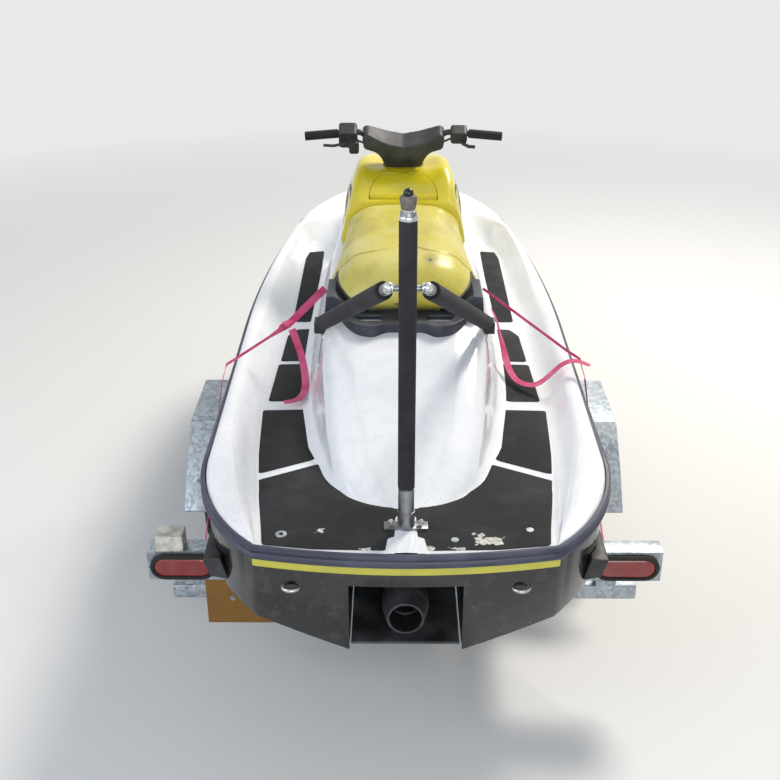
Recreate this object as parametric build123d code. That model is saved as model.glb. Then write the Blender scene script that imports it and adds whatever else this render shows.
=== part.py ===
from build123d import *
import os
from math import atan2, cos, degrees, pi, radians, sin, tan

os.makedirs("parts", exist_ok=True)

# A two-seat personal watercraft on its road trailer, all sizes in millimetres.
# While it is made, Y runs forward from the transom and Z up from the keel line. X is to starboard.
# Every piece is moved at the end, so that the origin is on the ground under the middle of the whole.

# Craft, main sizes
LENGTH = 2885            # stern to stem at the rub rail
HALF_BEAM = 575          # half-width over the rub rail
DEADRISE = 20            # degrees, of the V bottom
CHINE_X = 465            # half-width at the chine
CHINE_FLAT = 25
PRISM_END = 1750         # the V bottom runs straight from the transom to here
RAIL_T = 14              # how far the rub rail stands out from the mouldings
RAIL_H = 40

# Trailer, main sizes
KEEL_HEIGHT = 400        # keel line over the ground
TYRE_R = 265
TYRE_W = 145
WHEEL_X = 640
AXLE_Y = 1215
NOSE_Y = 3560            # front of the coupler
RAIL_X = 420             # middle of the trailer's side rails
RAIL_W = 40
FRAME_LOW = -75
FRAME_TOP = -5
CROSS_TOP = -28
WIDTH_HALF = 765         # half-width over the lamp brackets

CLEAR = 6                # gap between panels that move
SKIN = 0.3               # gap between soft pieces and what they lie on
RUN = 0.05               # radial running fit

STERN_Y = -15
MID_Y = (STERN_Y + NOSE_Y) / 2
NODES = {}


def node(name, shape):
    """Keeps one named piece, to be written at the end."""
    NODES[name] = shape


def face_on(plane, points):
    return plane * make_face(Polyline(*points, close=True))


def block(x0, x1, y0, y1, z0, z1):
    """A box from corner to corner."""
    middle = ((x0 + x1) / 2, (y0 + y1) / 2, (z0 + z1) / 2)
    return Pos(*middle) * Box(abs(x1 - x0), abs(y1 - y0), abs(z1 - z0))


def side_slab(points, x0, x1):
    """A side profile of (y, z) points, extruded across the craft."""
    return extrude(face_on(Plane.YZ.offset(x0), points), x1 - x0)


def plan_slab(points, z0, z1):
    """A plan of (x, y) points, extruded upwards."""
    return extrude(face_on(Plane.XY.offset(z0), points), z1 - z0)


def cross_plane(y):
    """The upright plane across the craft at y, with (x, z) coordinates."""
    return Plane(origin=(0, y, 0), x_dir=(1, 0, 0), z_dir=(0, -1, 0))


def cross_slab(points, y0, y1):
    """A cross-section of (x, z) points, extruded along the craft."""
    return extrude(face_on(cross_plane(y1), points), y1 - y0)


def rod(start, end, radius):
    """A round bar between two points."""
    a, b = Vector(*start), Vector(*end)
    plane = Plane(origin=a, z_dir=(b - a))
    return extrude(plane * Circle(radius), (b - a).length)


def both(shape):
    """A piece and its mirror image on the other side."""
    return [shape, mirror(shape, Plane.YZ)]


def group(shapes):
    """Separate solids kept together as one piece."""
    return Compound([s for shape in shapes for s in shape.solids()])


def whole(half):
    """The closed section of a half-section that starts and ends on the centreline."""
    return half + [(-x, z) for x, z in reversed(half) if x > 0]


def loft_of(table, half_of, ruled=False):
    """A solid through one cross-section for each row of a table."""
    faces = [face_on(cross_plane(row[0]), whole(half_of(row))) for row in table]
    return Solid.make_loft([face.face().outer_wire() for face in faces], ruled)


def mirrored_outline(half):
    """Plan points from the stern to the bow, then back down the port side."""
    return half + [(-x, y) for x, y in reversed(half) if x > 0]


# Plan outline over the rub rail, as arcs through three points
STERN_CORNER = (400, 20)
CORNER_MID = (512, 140)
SIDE_START = (HALF_BEAM, 400)
SIDE_END = (HALF_BEAM, 1300)
SHOULDER_MID = (540, 1900)
SHOULDER = (455, 2410)
CHEEK_MID = (345, 2650)
CHEEK = (190, 2815)


def outline(inset):
    """The craft's plan shape, drawn in from the rub rail by inset."""
    right = [
        ThreePointArc(STERN_CORNER, CORNER_MID, SIDE_START),
        Line(SIDE_START, SIDE_END),
        ThreePointArc(SIDE_END, SHOULDER_MID, SHOULDER),
        ThreePointArc(SHOULDER, CHEEK_MID, CHEEK),
    ]
    left = [mirror(edge, Plane.YZ) for edge in right]
    stern = ThreePointArc(STERN_CORNER, (0, STERN_Y), (-STERN_CORNER[0], STERN_CORNER[1]))
    nose = ThreePointArc(CHEEK, (0, LENGTH), (-CHEEK[0], CHEEK[1]))
    face = make_face([*right, *left, stern, nose])
    return offset(face, -inset) if inset else face


# Sheer line in side view: two arcs through (y, z) points
SHEER_AFT = [(-80, 335), (150, 372), (400, 405)]
SHEER_FORE = [(400, 405), (1600, 424), (2960, 520)]


def arc_height(y, points):
    """Height of the arc through three (y, z) points, near enough by a parabola."""
    (a, p), (b, q), (c, r) = points
    return (p * (y - b) * (y - c) / ((a - b) * (a - c)) + q * (y - a) * (y - c) / ((b - a) * (b - c))
            + r * (y - a) * (y - b) / ((c - a) * (c - b)))


def sheer(y):
    return arc_height(y, SHEER_AFT if y < SHEER_AFT[2][0] else SHEER_FORE)


def sheer_curves(lift):
    return [ThreePointArc(*[(y, z + rise) for (y, z), rise in zip(points, rises)])
            for points, rises in ((SHEER_AFT, lift[:3]), (SHEER_FORE, lift[2:]))]


def sheer_band(low, high):
    """All that lies between two lines over the sheer, each given by its rise at the five sheer points."""
    lower, upper = sheer_curves(low), sheer_curves(high)
    start, end = SHEER_AFT[0], SHEER_FORE[2]
    ends = [Line((start[0], start[1] + low[0]), (start[0], start[1] + high[0])),
            Line((end[0], end[1] + low[4]), (end[0], end[1] + high[4]))]
    face = make_face([*lower, *upper, *ends])
    return extrude(Plane.YZ * face, 2 * HALF_BEAM, both=True)


def under_sheer():
    """All that lies below the sheer line."""
    upper = sheer_curves(level(0))
    start, end = SHEER_AFT[0], SHEER_FORE[2]
    low = -100
    sides = [Line(start, (start[0], low)), Line((start[0], low), (end[0], low)), Line((end[0], low), end)]
    return extrude(Plane.YZ * make_face([*upper, *sides]), 2 * HALF_BEAM, both=True)


def level(rise):
    return [rise] * 5


# Hull: a straight V bottom aft and a rising forefoot
CHINE_Z = CHINE_X * tan(radians(DEADRISE))
# y, keel height, chine half-width, chine height, half-width at the sheer
FOREFOOT = [
    (PRISM_END, 0, CHINE_X, CHINE_Z, 575),
    (2100, 22, 415, 188, 545),
    (2400, 90, 325, 235, 480),
    (2640, 205, 200, 310, 385),
    (2800, 330, 95, 385, 265),
    (2880, 430, 30, 450, 130),
]


def hull_half(row):
    y, keel, chine_x, chine_z, sheer_x = row
    top = 560
    return [(0, keel), (chine_x, chine_z), (chine_x + CHINE_FLAT, chine_z + 4),
            (sheer_x, sheer(y)), (sheer_x, top), (0, top)]


BAY_X, BAY_Y0, BAY_Y1, BAY_Z = 190, 985, 1610, 100
BIN_X, BIN_Y0, BIN_Y1, BIN_Z = 140, 2110, 2480, 330
PUMP_Z = 125
TUNNEL_X = 150
TUNNEL_END = 620
TUNNEL_TOP = 262
INTAKE_X = 80
INTAKE_END = 1000
SHAFT_R = 12


def make_hull():
    aft = [(-40, 0, CHINE_X, CHINE_Z, 575), (PRISM_END, 0, CHINE_X, CHINE_Z, 575)]
    sheer_z = sheer(PRISM_END)
    aft_half = [(0, 0), (CHINE_X, CHINE_Z), (CHINE_X + CHINE_FLAT, CHINE_Z + 4), (575, sheer_z), (575, 560), (0, 560)]
    body = cross_slab(whole(aft_half), aft[0][0], aft[1][0])
    body += loft_of(FOREFOOT, hull_half)
    body &= extrude(outline(RAIL_T), 700)
    body &= under_sheer()
    tunnel = block(-TUNNEL_X, TUNNEL_X, -100, TUNNEL_END, -50, TUNNEL_TOP)
    intake = side_slab([(TUNNEL_END - 1, -50), (INTAKE_END, -50), (INTAKE_END - 40, 30), (TUNNEL_END - 1, 190)],
                       -INTAKE_X, INTAKE_X)
    bay = block(-BAY_X, BAY_X, BAY_Y0, BAY_Y1, BAY_Z, 700)
    bin_space = block(-BIN_X, BIN_X, BIN_Y0, BIN_Y1, BIN_Z, 700)
    shaft_way = rod((0, TUNNEL_END - 5, PUMP_Z), (0, BAY_Y0 + 5, PUMP_Z), SHAFT_R + RUN)
    return body - make_pan() - tunnel - intake - bay - bin_space - shaft_way


# Deck tray: flat rear deck and footwells inside a rounded bulwark
FLOOR_AFT = 362
FLOOR_RISE = 1.2         # degrees, upwards to the bow
BULWARK = [18, 24, 38, 54, 40]     # rise of the bulwark's top over the five sheer points
WELL_DRAFT = 25
DECK_T = 18              # moulding thickness under the floor and round the footwells
# x, y on the floor's edge, from the stern to the bow
WELL = [(0, -120), (402, -120), (404, 60), (445, 356), (470, 800), (462, 1150), (430, 1500), (400, 1900),
        (370, 2180), (325, 2310), (240, 2390), (0, 2410)]


def floor_z(y):
    return FLOOR_AFT + y * tan(radians(FLOOR_RISE))


def floor_plane(lift=0):
    tilt = radians(FLOOR_RISE)
    return Plane(origin=(0, 0, FLOOR_AFT + lift), x_dir=(1, 0, 0), z_dir=(0, -sin(tilt), cos(tilt)))


def make_pan():
    """The footwells' outside, where the deck tray hangs down into the hull."""
    shape = offset(make_face(Polyline(*mirrored_outline(WELL), close=True)), DECK_T, kind=Kind.INTERSECTION)
    return extrude(floor_plane(-DECK_T) * shape, 190, taper=-WELL_DRAFT)


def make_deck():
    tray = sheer_band(level(0), BULWARK) + (make_pan() & sheer_band(level(-90), BULWARK))
    body = extrude(outline(RAIL_T), 700) & tray
    well = extrude(face_on(floor_plane(), mirrored_outline(WELL)), 160, taper=-WELL_DRAFT)
    body = body - well
    bay = block(-BAY_X, BAY_X, BAY_Y0, BAY_Y1, BAY_Z, 900)
    bin_space = block(-BIN_X, BIN_X, BIN_Y0, BIN_Y1, BIN_Z, 900)
    return body - bay - bin_space


# Centre moulding: the seat's pedestal, and the raised spine under the console and the hood
SEAT_BASE = 640
SEAT_FRONT = 1655
SPINE_END = 2780
SPINE_END_Z = 552
# y, half-width at the floor, shoulder x, shoulder z, crown x, crown z
SPINE = [
    (234, 100, 92, 373, 60, 376),
    (300, 190, 172, 394, 120, 404),
    (450, 242, 220, 448, 150, 464),
    (650, 275, 240, 530, 160, 550),
    (830, 300, 248, 592, 165, 608),
    (960, 306, 250, 632, 170, 652),
    (1650, 310, 250, 632, 170, 652),
    (2050, 298, 235, 606, 160, 640),
    (2350, 262, 200, 582, 140, 606),
    (2600, 170, 130, 556, 90, 578),
    (2790, 60, 45, 540, 25, 556),
]


def spine_half(row):
    y, floor_x, shoulder_x, shoulder_z, crown_x, crown_z = row
    return [(0, 330), (floor_x, 330), (floor_x, floor_z(y) + 2), (shoulder_x, shoulder_z), (crown_x, crown_z), (0, crown_z + 4)]


def make_centre_moulding():
    body = loft_of(SPINE, spine_half)
    seat_line = [(896, SEAT_BASE), (SEAT_FRONT, SEAT_BASE), (SPINE_END + 20, SPINE_END_Z), (SPINE_END + 20, 900), (896, 900)]
    body -= side_slab(seat_line, -400, 400)
    under = Plane(origin=(0, 1500, floor_z(1500) - 200), x_dir=(1, 0, 0), z_dir=floor_plane().z_dir)
    body -= under * Box(1400, 3400, 400)
    body -= sheer_band(level(-100), BULWARK) & block(-400, 400, 2180, 3000, 0, 900)
    body -= block(-BAY_X, BAY_X, BAY_Y0, BAY_Y1, BAY_Z, 900)
    body -= block(-BIN_X, BIN_X, BIN_Y0, BIN_Y1, BIN_Z, 900)
    return body


def make_rub_rail():
    band = sheer_band(level(-RAIL_H / 2), level(RAIL_H / 2))
    ring = extrude(outline(0), 700) - extrude(outline(RAIL_T), 700)
    return ring & band


def make_stern_stripe():
    band = sheer_band(level(-RAIL_H / 2 - 26), level(-RAIL_H / 2 - 2))
    ring = extrude(outline(RAIL_T - 4), 700) - extrude(outline(RAIL_T), 700)
    return ring & band & block(-400, 400, -50, 70, 0, 600)


# Traction mats: thin rubber sheets glued on the floor, as (x, y) outlines to starboard
MAT_T = 3
MAT_REAR = [(0, 16), (240, 22), (378, 40), (384, 120), (420, 350), (250, 440), (205, 330), (160, 262), (90, 222), (0, 214)]
SIDE_MATS = [
    [(421, 366), (452, 812), (322, 812), (262, 452)],
    [(434, 868), (422, 1118), (340, 1118), (332, 868)],
    [(415, 1152), (388, 1440), (344, 1440), (340, 1152)],
    [(392, 1500), (372, 1900), (345, 2190), (338, 2190), (338, 1500)],
]


def make_mats():
    plane = floor_plane()
    sheets = [extrude(face_on(plane, mirrored_outline(MAT_REAR)), MAT_T)]
    for outline_points in SIDE_MATS:
        sheets += both(extrude(face_on(plane, outline_points), MAT_T))
    foot = Pos(POLE_X, POLE_Y, FLOOR_AFT) * Box(FOOT_W + 2, FOOT_D + 2, 40)
    return group([sheet - foot - NODES["centre_moulding"] for sheet in sheets])


# Seat
# y, base half-width, base z, side x, side z, crown x, crown z
SEAT = [
    (905, 130, 668, 140, 700, 90, 738),
    (960, 200, 650, 216, 700, 130, 776),
    (1030, 236, 641, 256, 690, 150, 798),
    (1120, 238, 641, 252, 690, 150, 806),
    (1300, 226, 641, 236, 700, 140, 792),
    (1500, 216, 641, 226, 712, 135, 786),
    (SEAT_FRONT, 210, 641, 216, 732, 130, 792),
]


def seat_half(row):
    y, base_x, base_z, side_x, side_z, crown_x, crown_z = row
    return [(0, base_z), (base_x, base_z), (side_x, side_z), (crown_x, crown_z), (0, crown_z + 6)]


# Console and hood share one kind of section
# y, base half-width, outer x, outer z, shoulder x, shoulder z, valley x, valley z
CONSOLE = [
    (SEAT_FRONT + CLEAR, 238, 232, 700, 165, 796, 122, 797),
    (SEAT_FRONT + 135, 242, 225, 745, 165, 892, 95, 872),
    (SEAT_FRONT + 245, 240, 220, 750, 158, 905, 80, 872),
    (SEAT_FRONT + 365, 235, 210, 740, 150, 880, 70, 884),
]
HOOD_START = CONSOLE[-1][0] + CLEAR
HOOD = [
    (HOOD_START, 235, 210, 738, 150, 878, 70, 890),
    (2200, 222, 196, 700, 138, 812, 65, 832),
    (2450, 186, 160, 640, 112, 716, 52, 736),
    (2640, 136, 116, 596, 80, 640, 38, 656),
    (2758, 80, 66, 570, 46, 588, 24, 594),
]
HOOD_WALL = 12
HOOD_AXIS = (2768, 566)  # y, z of the hood's hinge
HOOD_PIN_R = 4
HOOD_BARREL_R = 8
HOOD_BARREL = 14         # half its length
EAR = (20, 28)           # the two ears that hold the pin, from the middle


def hood_rod(half, radius):
    """A bar along the hood's hinge."""
    return rod((-half, *HOOD_AXIS), (half, *HOOD_AXIS), radius)


def parting_z(y):
    """Height of the joint between the spine and what stands on it."""
    return SEAT_BASE + (y - SEAT_FRONT) * (SPINE_END_Z - SEAT_BASE) / (SPINE_END + 20 - SEAT_FRONT)


def console_half(row, wall=0, gap=0):
    y, base_x, outer_x, outer_z, shoulder_x, shoulder_z, valley_x, valley_z = row
    low = parting_z(y) + gap - (60 if wall else 0)
    return [(0, low), (base_x - wall, low), (outer_x - wall, outer_z - wall / 2), (shoulder_x - wall, shoulder_z - wall),
            (valley_x, valley_z - wall), (0, valley_z - wall)]


# Glovebox lid, on the console's sloping rear face
LID_T = 10
LID_LOW = SEAT_FRONT + 29      # y of the lid's rear edge
LID_HIGH = SEAT_FRONT + 125    # y of its front edge
LID_HALF_LOW = 112
LID_HALF_HIGH = 84
GLOVE_DEPTH = 90
LID_PIN_R = 2
LID_BARREL_R = 4
LID_BARREL = (40, 80)    # from the middle, along the hinge
LID_AXIS = (-10, -3)     # hinge from the lid's rear edge, along and square to the lid
LID_FOOT, LID_HEAD = CONSOLE[:2]
LID_SLOPE = degrees(atan2(LID_HEAD[7] - LID_FOOT[7], LID_HEAD[0] - LID_FOOT[0]))


def lid_plane():
    rise = radians(LID_SLOPE)
    start_z = LID_FOOT[7] + (LID_LOW - LID_FOOT[0]) * tan(rise)
    return Plane(origin=(0, LID_LOW, start_z), x_dir=(1, 0, 0), z_dir=(0, -sin(rise), cos(rise)))


def lid_outline(grow):
    run = (LID_HIGH - LID_LOW) / cos(radians(LID_SLOPE))
    return [(-LID_HALF_LOW - grow, -grow), (LID_HALF_LOW + grow, -grow), (LID_HALF_HIGH + grow, run + grow),
            (-LID_HALF_HIGH - grow, run + grow)]


# Steering: everything turns about an axis that leans back
STEER_LEAN = 28          # degrees from upright
STEER_FOOT = (0, SEAT_FRONT + 210, 914)      # where the pad's neck ends, on the axis
BAR_RISE = 118           # from the neck's end to the bar's ends, along the axis
BAR_TIP = 370
BAR_R = 11
GRIP_R = 16
GRIP_L = 125
STEM_R = 14


def steer_plane(lift=0):
    lean = radians(STEER_LEAN)
    axis = Vector(0, -sin(lean), cos(lean))
    return Plane(origin=Vector(*STEER_FOOT) + axis * lift, x_dir=(1, 0, 0), z_dir=axis)


BAR_POINTS = [(-BAR_TIP, -16, BAR_RISE), (-165, 0, BAR_RISE + 8), (-95, 4, BAR_RISE - 48),
              (95, 4, BAR_RISE - 48), (165, 0, BAR_RISE + 8), (BAR_TIP, -16, BAR_RISE)]
PAD_HALF = [(0, 0), (62, 0), (78, 12), (88, 60), (168, 92), (164, 132), (120, 140), (60, 112), (0, 104)]
PAD_D = 42


def bar_local():
    path = FilletPolyline(*BAR_POINTS, radius=40)
    return sweep(Plane(origin=path @ 0, z_dir=path % 0) * Circle(BAR_R), path)


def make_pad():
    face = face_on(Plane(origin=(0, PAD_D, 0), x_dir=(1, 0, 0), z_dir=(0, -1, 0)), whole(PAD_HALF))
    pad = extrude(face, 2 * PAD_D)
    return pad


# Jet pump, with the steering nozzle and the impeller, all about one axis along the craft
PUMP_R = 88
PUMP_BORE = 70
PUMP_FRONT = 560
PUMP_TAIL = 115
NOZZLE_Y = 125
TAIL_R = 46
TAIL_BORE = 38
IMPELLER_R = 65
IMPELLER_Y = (430, 500)
HUB_R = 26


def turned(profile):
    """A ring of (radius, y) points turned about the pump's axis."""
    face = face_on(Plane(origin=(0, 0, PUMP_Z), x_dir=(1, 0, 0), z_dir=(0, 0, 1)), profile)
    return revolve(face, Axis((0, 0, PUMP_Z), (0, 1, 0)))


def make_pump():
    shell = turned([(PUMP_BORE, PUMP_FRONT), (PUMP_R, PUMP_FRONT), (PUMP_R, 340), (TAIL_R + 14, 200), (TAIL_R, 190),
                    (TAIL_R, PUMP_TAIL), (TAIL_BORE, PUMP_TAIL), (TAIL_BORE, 200), (PUMP_BORE, 330)])
    flange = block(-TUNNEL_X + 1, TUNNEL_X - 1, PUMP_FRONT - 1, TUNNEL_END, 30, TUNNEL_TOP - 1)
    flange -= turned([(0, PUMP_FRONT - 20), (PUMP_BORE, PUMP_FRONT - 20), (PUMP_BORE, TUNNEL_END + 20), (0, TUNNEL_END + 20)])
    pins = rod((0, NOZZLE_Y, PUMP_Z + TAIL_R - 4), (0, NOZZLE_Y, PUMP_Z + 66), 6)
    pins += rod((0, NOZZLE_Y, PUMP_Z - TAIL_R + 4), (0, NOZZLE_Y, PUMP_Z - 66), 6)
    cone = turned([(0, 400), (HUB_R, 400), (HUB_R, 330), (8, 240), (0, 236)])
    vanes = [block(-2, 2, 330, 390, 0, PUMP_BORE + 6).moved(Location((0, 0, PUMP_Z), (0, 1, 0), 60 * k)) for k in range(6)]
    return shell + flange + pins + cone + vanes


def make_nozzle():
    shell = turned([(56, 137), (64, 137), (64, 100), (50, 42), (43, 42), (56, 95)])
    pin_way = rod((0, NOZZLE_Y, PUMP_Z - 80), (0, NOZZLE_Y, PUMP_Z + 80), 6 + RUN)
    return shell - pin_way


def make_impeller():
    hub = turned([(0, IMPELLER_Y[0] - 15), (HUB_R, IMPELLER_Y[0] - 10), (HUB_R, IMPELLER_Y[1]), (SHAFT_R, IMPELLER_Y[1] + 30),
                  (0, IMPELLER_Y[1] + 30)])
    shaft = rod((0, IMPELLER_Y[1] + 5, PUMP_Z), (0, BAY_Y0 + 40, PUMP_Z), SHAFT_R)
    body = hub + shaft
    for k in range(4):
        blade = block(-3, 3, -40, 40, HUB_R - 6, IMPELLER_R).rotate(Axis.Z, 55)
        body += blade.moved(Location((0, sum(IMPELLER_Y) / 2 - 5, PUMP_Z), (0, 1, 0), 90 * k))
    return body & rod((0, 300, PUMP_Z), (0, BAY_Y0 + 60, PUMP_Z), IMPELLER_R)


# Tow pole and its two braces
POLE_X, POLE_Y = 0, 120
POLE_R = 19
FOAM_R = 23
FOAM_LOW = 490
FOAM_TOP = 1210
POLE_TOP = 1284
FOOT_W, FOOT_D, FOOT_T = 116, 34, 9
BRACE_R = 15
BRACE_FOAM_R = 24
BRACE_HEAD = (46, 132, 1037)
BRACE_FOOT = (262, 880, 632)
CLAMP = (268, 915, 600)


def make_pole():
    foot = block(POLE_X - FOOT_W / 2, POLE_X + FOOT_W / 2, POLE_Y - FOOT_D / 2, POLE_Y + FOOT_D / 2, FLOOR_AFT + 3.5,
                 FLOOR_AFT + 3.5 + FOOT_T)
    socket = rod((POLE_X, POLE_Y, FLOOR_AFT + 6), (POLE_X, POLE_Y, FLOOR_AFT + 58), FOAM_R)
    tube = rod((POLE_X, POLE_Y, FLOOR_AFT + 30), (POLE_X, POLE_Y, FOAM_TOP + 20), POLE_R)
    collar = rod((POLE_X, POLE_Y, FLOOR_AFT + 58), (POLE_X, POLE_Y, FOAM_LOW - 1), FOAM_R - 2)
    bolt = rod((-BRACE_HEAD[0], BRACE_HEAD[1] + 0, BRACE_HEAD[2]), BRACE_HEAD, 8)
    lug = block(-14, 14, POLE_Y, BRACE_HEAD[1] + 12, BRACE_HEAD[2] - 16, BRACE_HEAD[2] + 16)
    return foot + socket + tube + collar + bolt + lug


def brace(radius, start=0.0, end=1.0):
    a, b = Vector(*BRACE_HEAD), Vector(*BRACE_FOOT)
    return rod(a + (b - a) * start, a + (b - a) * end, radius)


# Trailer
RIM_R = 150


def make_tyre():
    half = TYRE_W / 2
    face = make_face(Polyline((RIM_R, -46), (160, -46), (176, -half + 10), (205, -half), (232, -half + 2), (256, -half + 16), (TYRE_R, -half + 34),
                              (TYRE_R, half - 34), (256, half - 16), (232, half - 2), (205, half), (176, half - 10), (160, 46), (RIM_R, 46), close=True))
    turned_tyre = revolve(Plane.XY * face, Axis.Y)
    return turned_tyre.rotate(Axis.Z, -90)


STUB_R = 15
HUB_IN, HUB_OUT = -52, 40


def make_rim():
    """A pressed disc wheel with its hub; its outer side is towards +X."""
    barrel = revolve(make_face(Polyline((RIM_R - 6, -50), (158, -52), (158, -47), (RIM_R, -46), (RIM_R, 46), (158, 47), (158, 52),
                                        (RIM_R - 6, 50), close=True)), Axis.Y)
    disc = revolve(make_face(Polyline((0, 14), (62, 14), (80, 24), (118, 26), (147, 8), (147, 14), (120, 32), (78, 30),
                                      (60, 20), (0, 20), close=True)), Axis.Y)
    hub = Rot(90, 0, 0) * Pos(0, 0, 0) * Cylinder(34, HUB_OUT - HUB_IN)
    hub = hub.moved(Location((0, (HUB_OUT + HUB_IN) / 2, 0)))
    stub_way = (Rot(90, 0, 0) * Cylinder(STUB_R + RUN, 78)).moved(Location((0, HUB_IN + 39, 0)))
    wheel = barrel + disc + hub - stub_way
    windows = [(Rot(90, 0, 0) * Cylinder(13, 60)).moved(Location((99 * cos(a), 24, 99 * sin(a))))
               for a in [2 * pi * k / 8 for k in range(8)]]
    wheel = wheel - windows
    return wheel.rotate(Axis.Z, -90)


def at_wheel(shape, side):
    turned_shape = shape if side > 0 else mirror(shape, Plane.YZ)
    return turned_shape.moved(Location((side * WHEEL_X, AXLE_Y, TYRE_R - KEEL_HEIGHT)))


def make_axle():
    z = TYRE_R - KEEL_HEIGHT
    beam = block(-WHEEL_X + 70, WHEEL_X - 70, AXLE_Y - 22, AXLE_Y + 22, z - 22, z + 22)
    return beam + rod((-WHEEL_X - 22, AXLE_Y, z), (WHEEL_X + 22, AXLE_Y, z), STUB_R)


SPRING_HALF = 300
SPRING_EYE_Z = -128
LEAF_T = 6


def make_spring():
    """Three leaves on one arc, with a hanger at each end."""
    seat_z = TYRE_R - KEEL_HEIGHT - 22 - SKIN
    leaves = []
    sag = SPRING_EYE_Z - seat_z
    for k, reach in enumerate((SPRING_HALF, SPRING_HALF * 0.72, SPRING_HALF * 0.45)):
        rise = sag * (reach / SPRING_HALF) ** 2
        top = seat_z - k * LEAF_T
        upper = ThreePointArc((AXLE_Y - reach, top + rise), (AXLE_Y, top), (AXLE_Y + reach, top + rise))
        lower = ThreePointArc((AXLE_Y - reach, top + rise - LEAF_T), (AXLE_Y, top - LEAF_T), (AXLE_Y + reach, top + rise - LEAF_T))
        ends = [Line(upper @ 0, lower @ 0), Line(upper @ 1, lower @ 1)]
        leaves.append(extrude(Plane.YZ.offset(RAIL_X - 22) * make_face([upper, lower, *ends]), 44))
    hangers = [block(RAIL_X - 26, RAIL_X + 26, AXLE_Y + s * SPRING_HALF - 22, AXLE_Y + s * SPRING_HALF + 22,
                     SPRING_EYE_Z - 24, FRAME_LOW) for s in (-1, 1)]
    return leaves[0] + leaves[1:] + hangers


FRAME_AFT = 395
KINK_Y = 2150
TONGUE_Y = 3300
TONGUE_X = 44
CROSS_W = 50
CROSS_YS = (420, 880, 1775)
POST_Y = 2980
JACK_Y = 3120
PLATE_YS = (2480, POST_Y)
PLATE_HALF = 45
PLATE_T = 8


def tongue_x(y):
    """Middle of the drawbar leg at y."""
    return RAIL_X + (TONGUE_X - RAIL_X) * (y - KINK_Y) / (TONGUE_Y - KINK_Y)


def fender_z(y):
    """Height of the fender's top at y from the axle."""
    for (a, p), (b, q) in zip(FENDER_LINE, FENDER_LINE[1:]):
        if a <= y <= b:
            return p + (q - p) * (y - a) / (b - a)


def make_frame():
    """Side rails, cross members and the fenders' arms."""
    half = RAIL_W / 2
    rail = block(RAIL_X - half, RAIL_X + half, FRAME_AFT, KINK_Y, FRAME_LOW, FRAME_TOP)
    body = rail + mirror(rail, Plane.YZ)
    body += block(-WIDTH_HALF + 60, WIDTH_HALF - 60, CROSS_YS[0] - CROSS_W / 2, CROSS_YS[0] + CROSS_W / 2, FRAME_LOW, CROSS_TOP)
    for y in CROSS_YS[1:]:
        body += block(-RAIL_X, RAIL_X, y - CROSS_W / 2, y + CROSS_W / 2, FRAME_LOW, CROSS_TOP)
    for y in (-330, 330):
        top = [(AXLE_Y + side, fender_z(side) - FENDER_T - 1) for side in (y - 5, y + 5)]
        arm = side_slab([(AXLE_Y + y - 5, CROSS_TOP - 20), (AXLE_Y + y + 5, CROSS_TOP - 20), *top[::-1]], RAIL_X, FENDER_OUT - 10)
        body += arm
        body += mirror(arm, Plane.YZ)
    return body


def make_drawbar():
    """The two legs that run together to the coupler."""
    half = RAIL_W / 2
    leg = plan_slab([(RAIL_X - half, KINK_Y), (RAIL_X + half, KINK_Y), (TONGUE_X + half, TONGUE_Y), (TONGUE_X - half, TONGUE_Y)],
                    FRAME_LOW, FRAME_TOP)
    return group(both(leg))


def make_drawbar_plates():
    """Flat ties across the top of the drawbar."""
    plates = []
    for y in PLATE_YS:
        reach = tongue_x(y) + RAIL_W / 2 - 4
        plates.append(block(-reach, reach, y - PLATE_HALF, y + PLATE_HALF, FRAME_TOP, FRAME_TOP + PLATE_T))
    return group(plates)


FENDER_IN, FENDER_OUT = 548, 742
FENDER_T = 4
FENDER_LINE = [(-400, -30), (-310, 72), (-165, 190), (165, 190), (310, 72), (400, -30)]


def make_fender():
    upper = [(AXLE_Y + y, z) for y, z in FENDER_LINE]
    lower = [(y, z - FENDER_T - 1) for y, z in upper]
    plate = side_slab(upper + lower[::-1], FENDER_IN, FENDER_OUT)
    return plate


BUNK_X = 250
BUNK_W = 90
BUNK_T = 40
BUNK_Y = (360, 1960)


def bunk_section():
    slope = radians(DEADRISE)
    low, high = BUNK_X - BUNK_W / 2, BUNK_X + BUNK_W / 2
    top = [(low, low * tan(slope)), (high, high * tan(slope))]
    drop = (BUNK_T * sin(slope), -BUNK_T * cos(slope))
    return [top[0], top[1], (top[1][0] + drop[0], top[1][1] + drop[1]), (top[0][0] + drop[0], top[0][1] + drop[1])]


def make_bunks():
    plank = cross_slab(bunk_section(), *BUNK_Y)
    return group(both(plank))


def make_bunk_brackets():
    section = bunk_section()
    brackets = []
    for y in (CROSS_YS[0], CROSS_YS[2]):
        post = cross_slab([(section[3][0] + 10, CROSS_TOP), (section[2][0] - 10, CROSS_TOP),
                           (section[2][0] - 10, section[2][1] - 10 * tan(radians(DEADRISE))),
                           (section[3][0] + 10, section[3][1] + 10 * tan(radians(DEADRISE)))], y - 20, y + 20)
        brackets += both(post)
    return group(brackets)


SOCKET_Y = NOSE_Y - 38
SOCKET_Z = -30
BALL_R = 25.4


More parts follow.
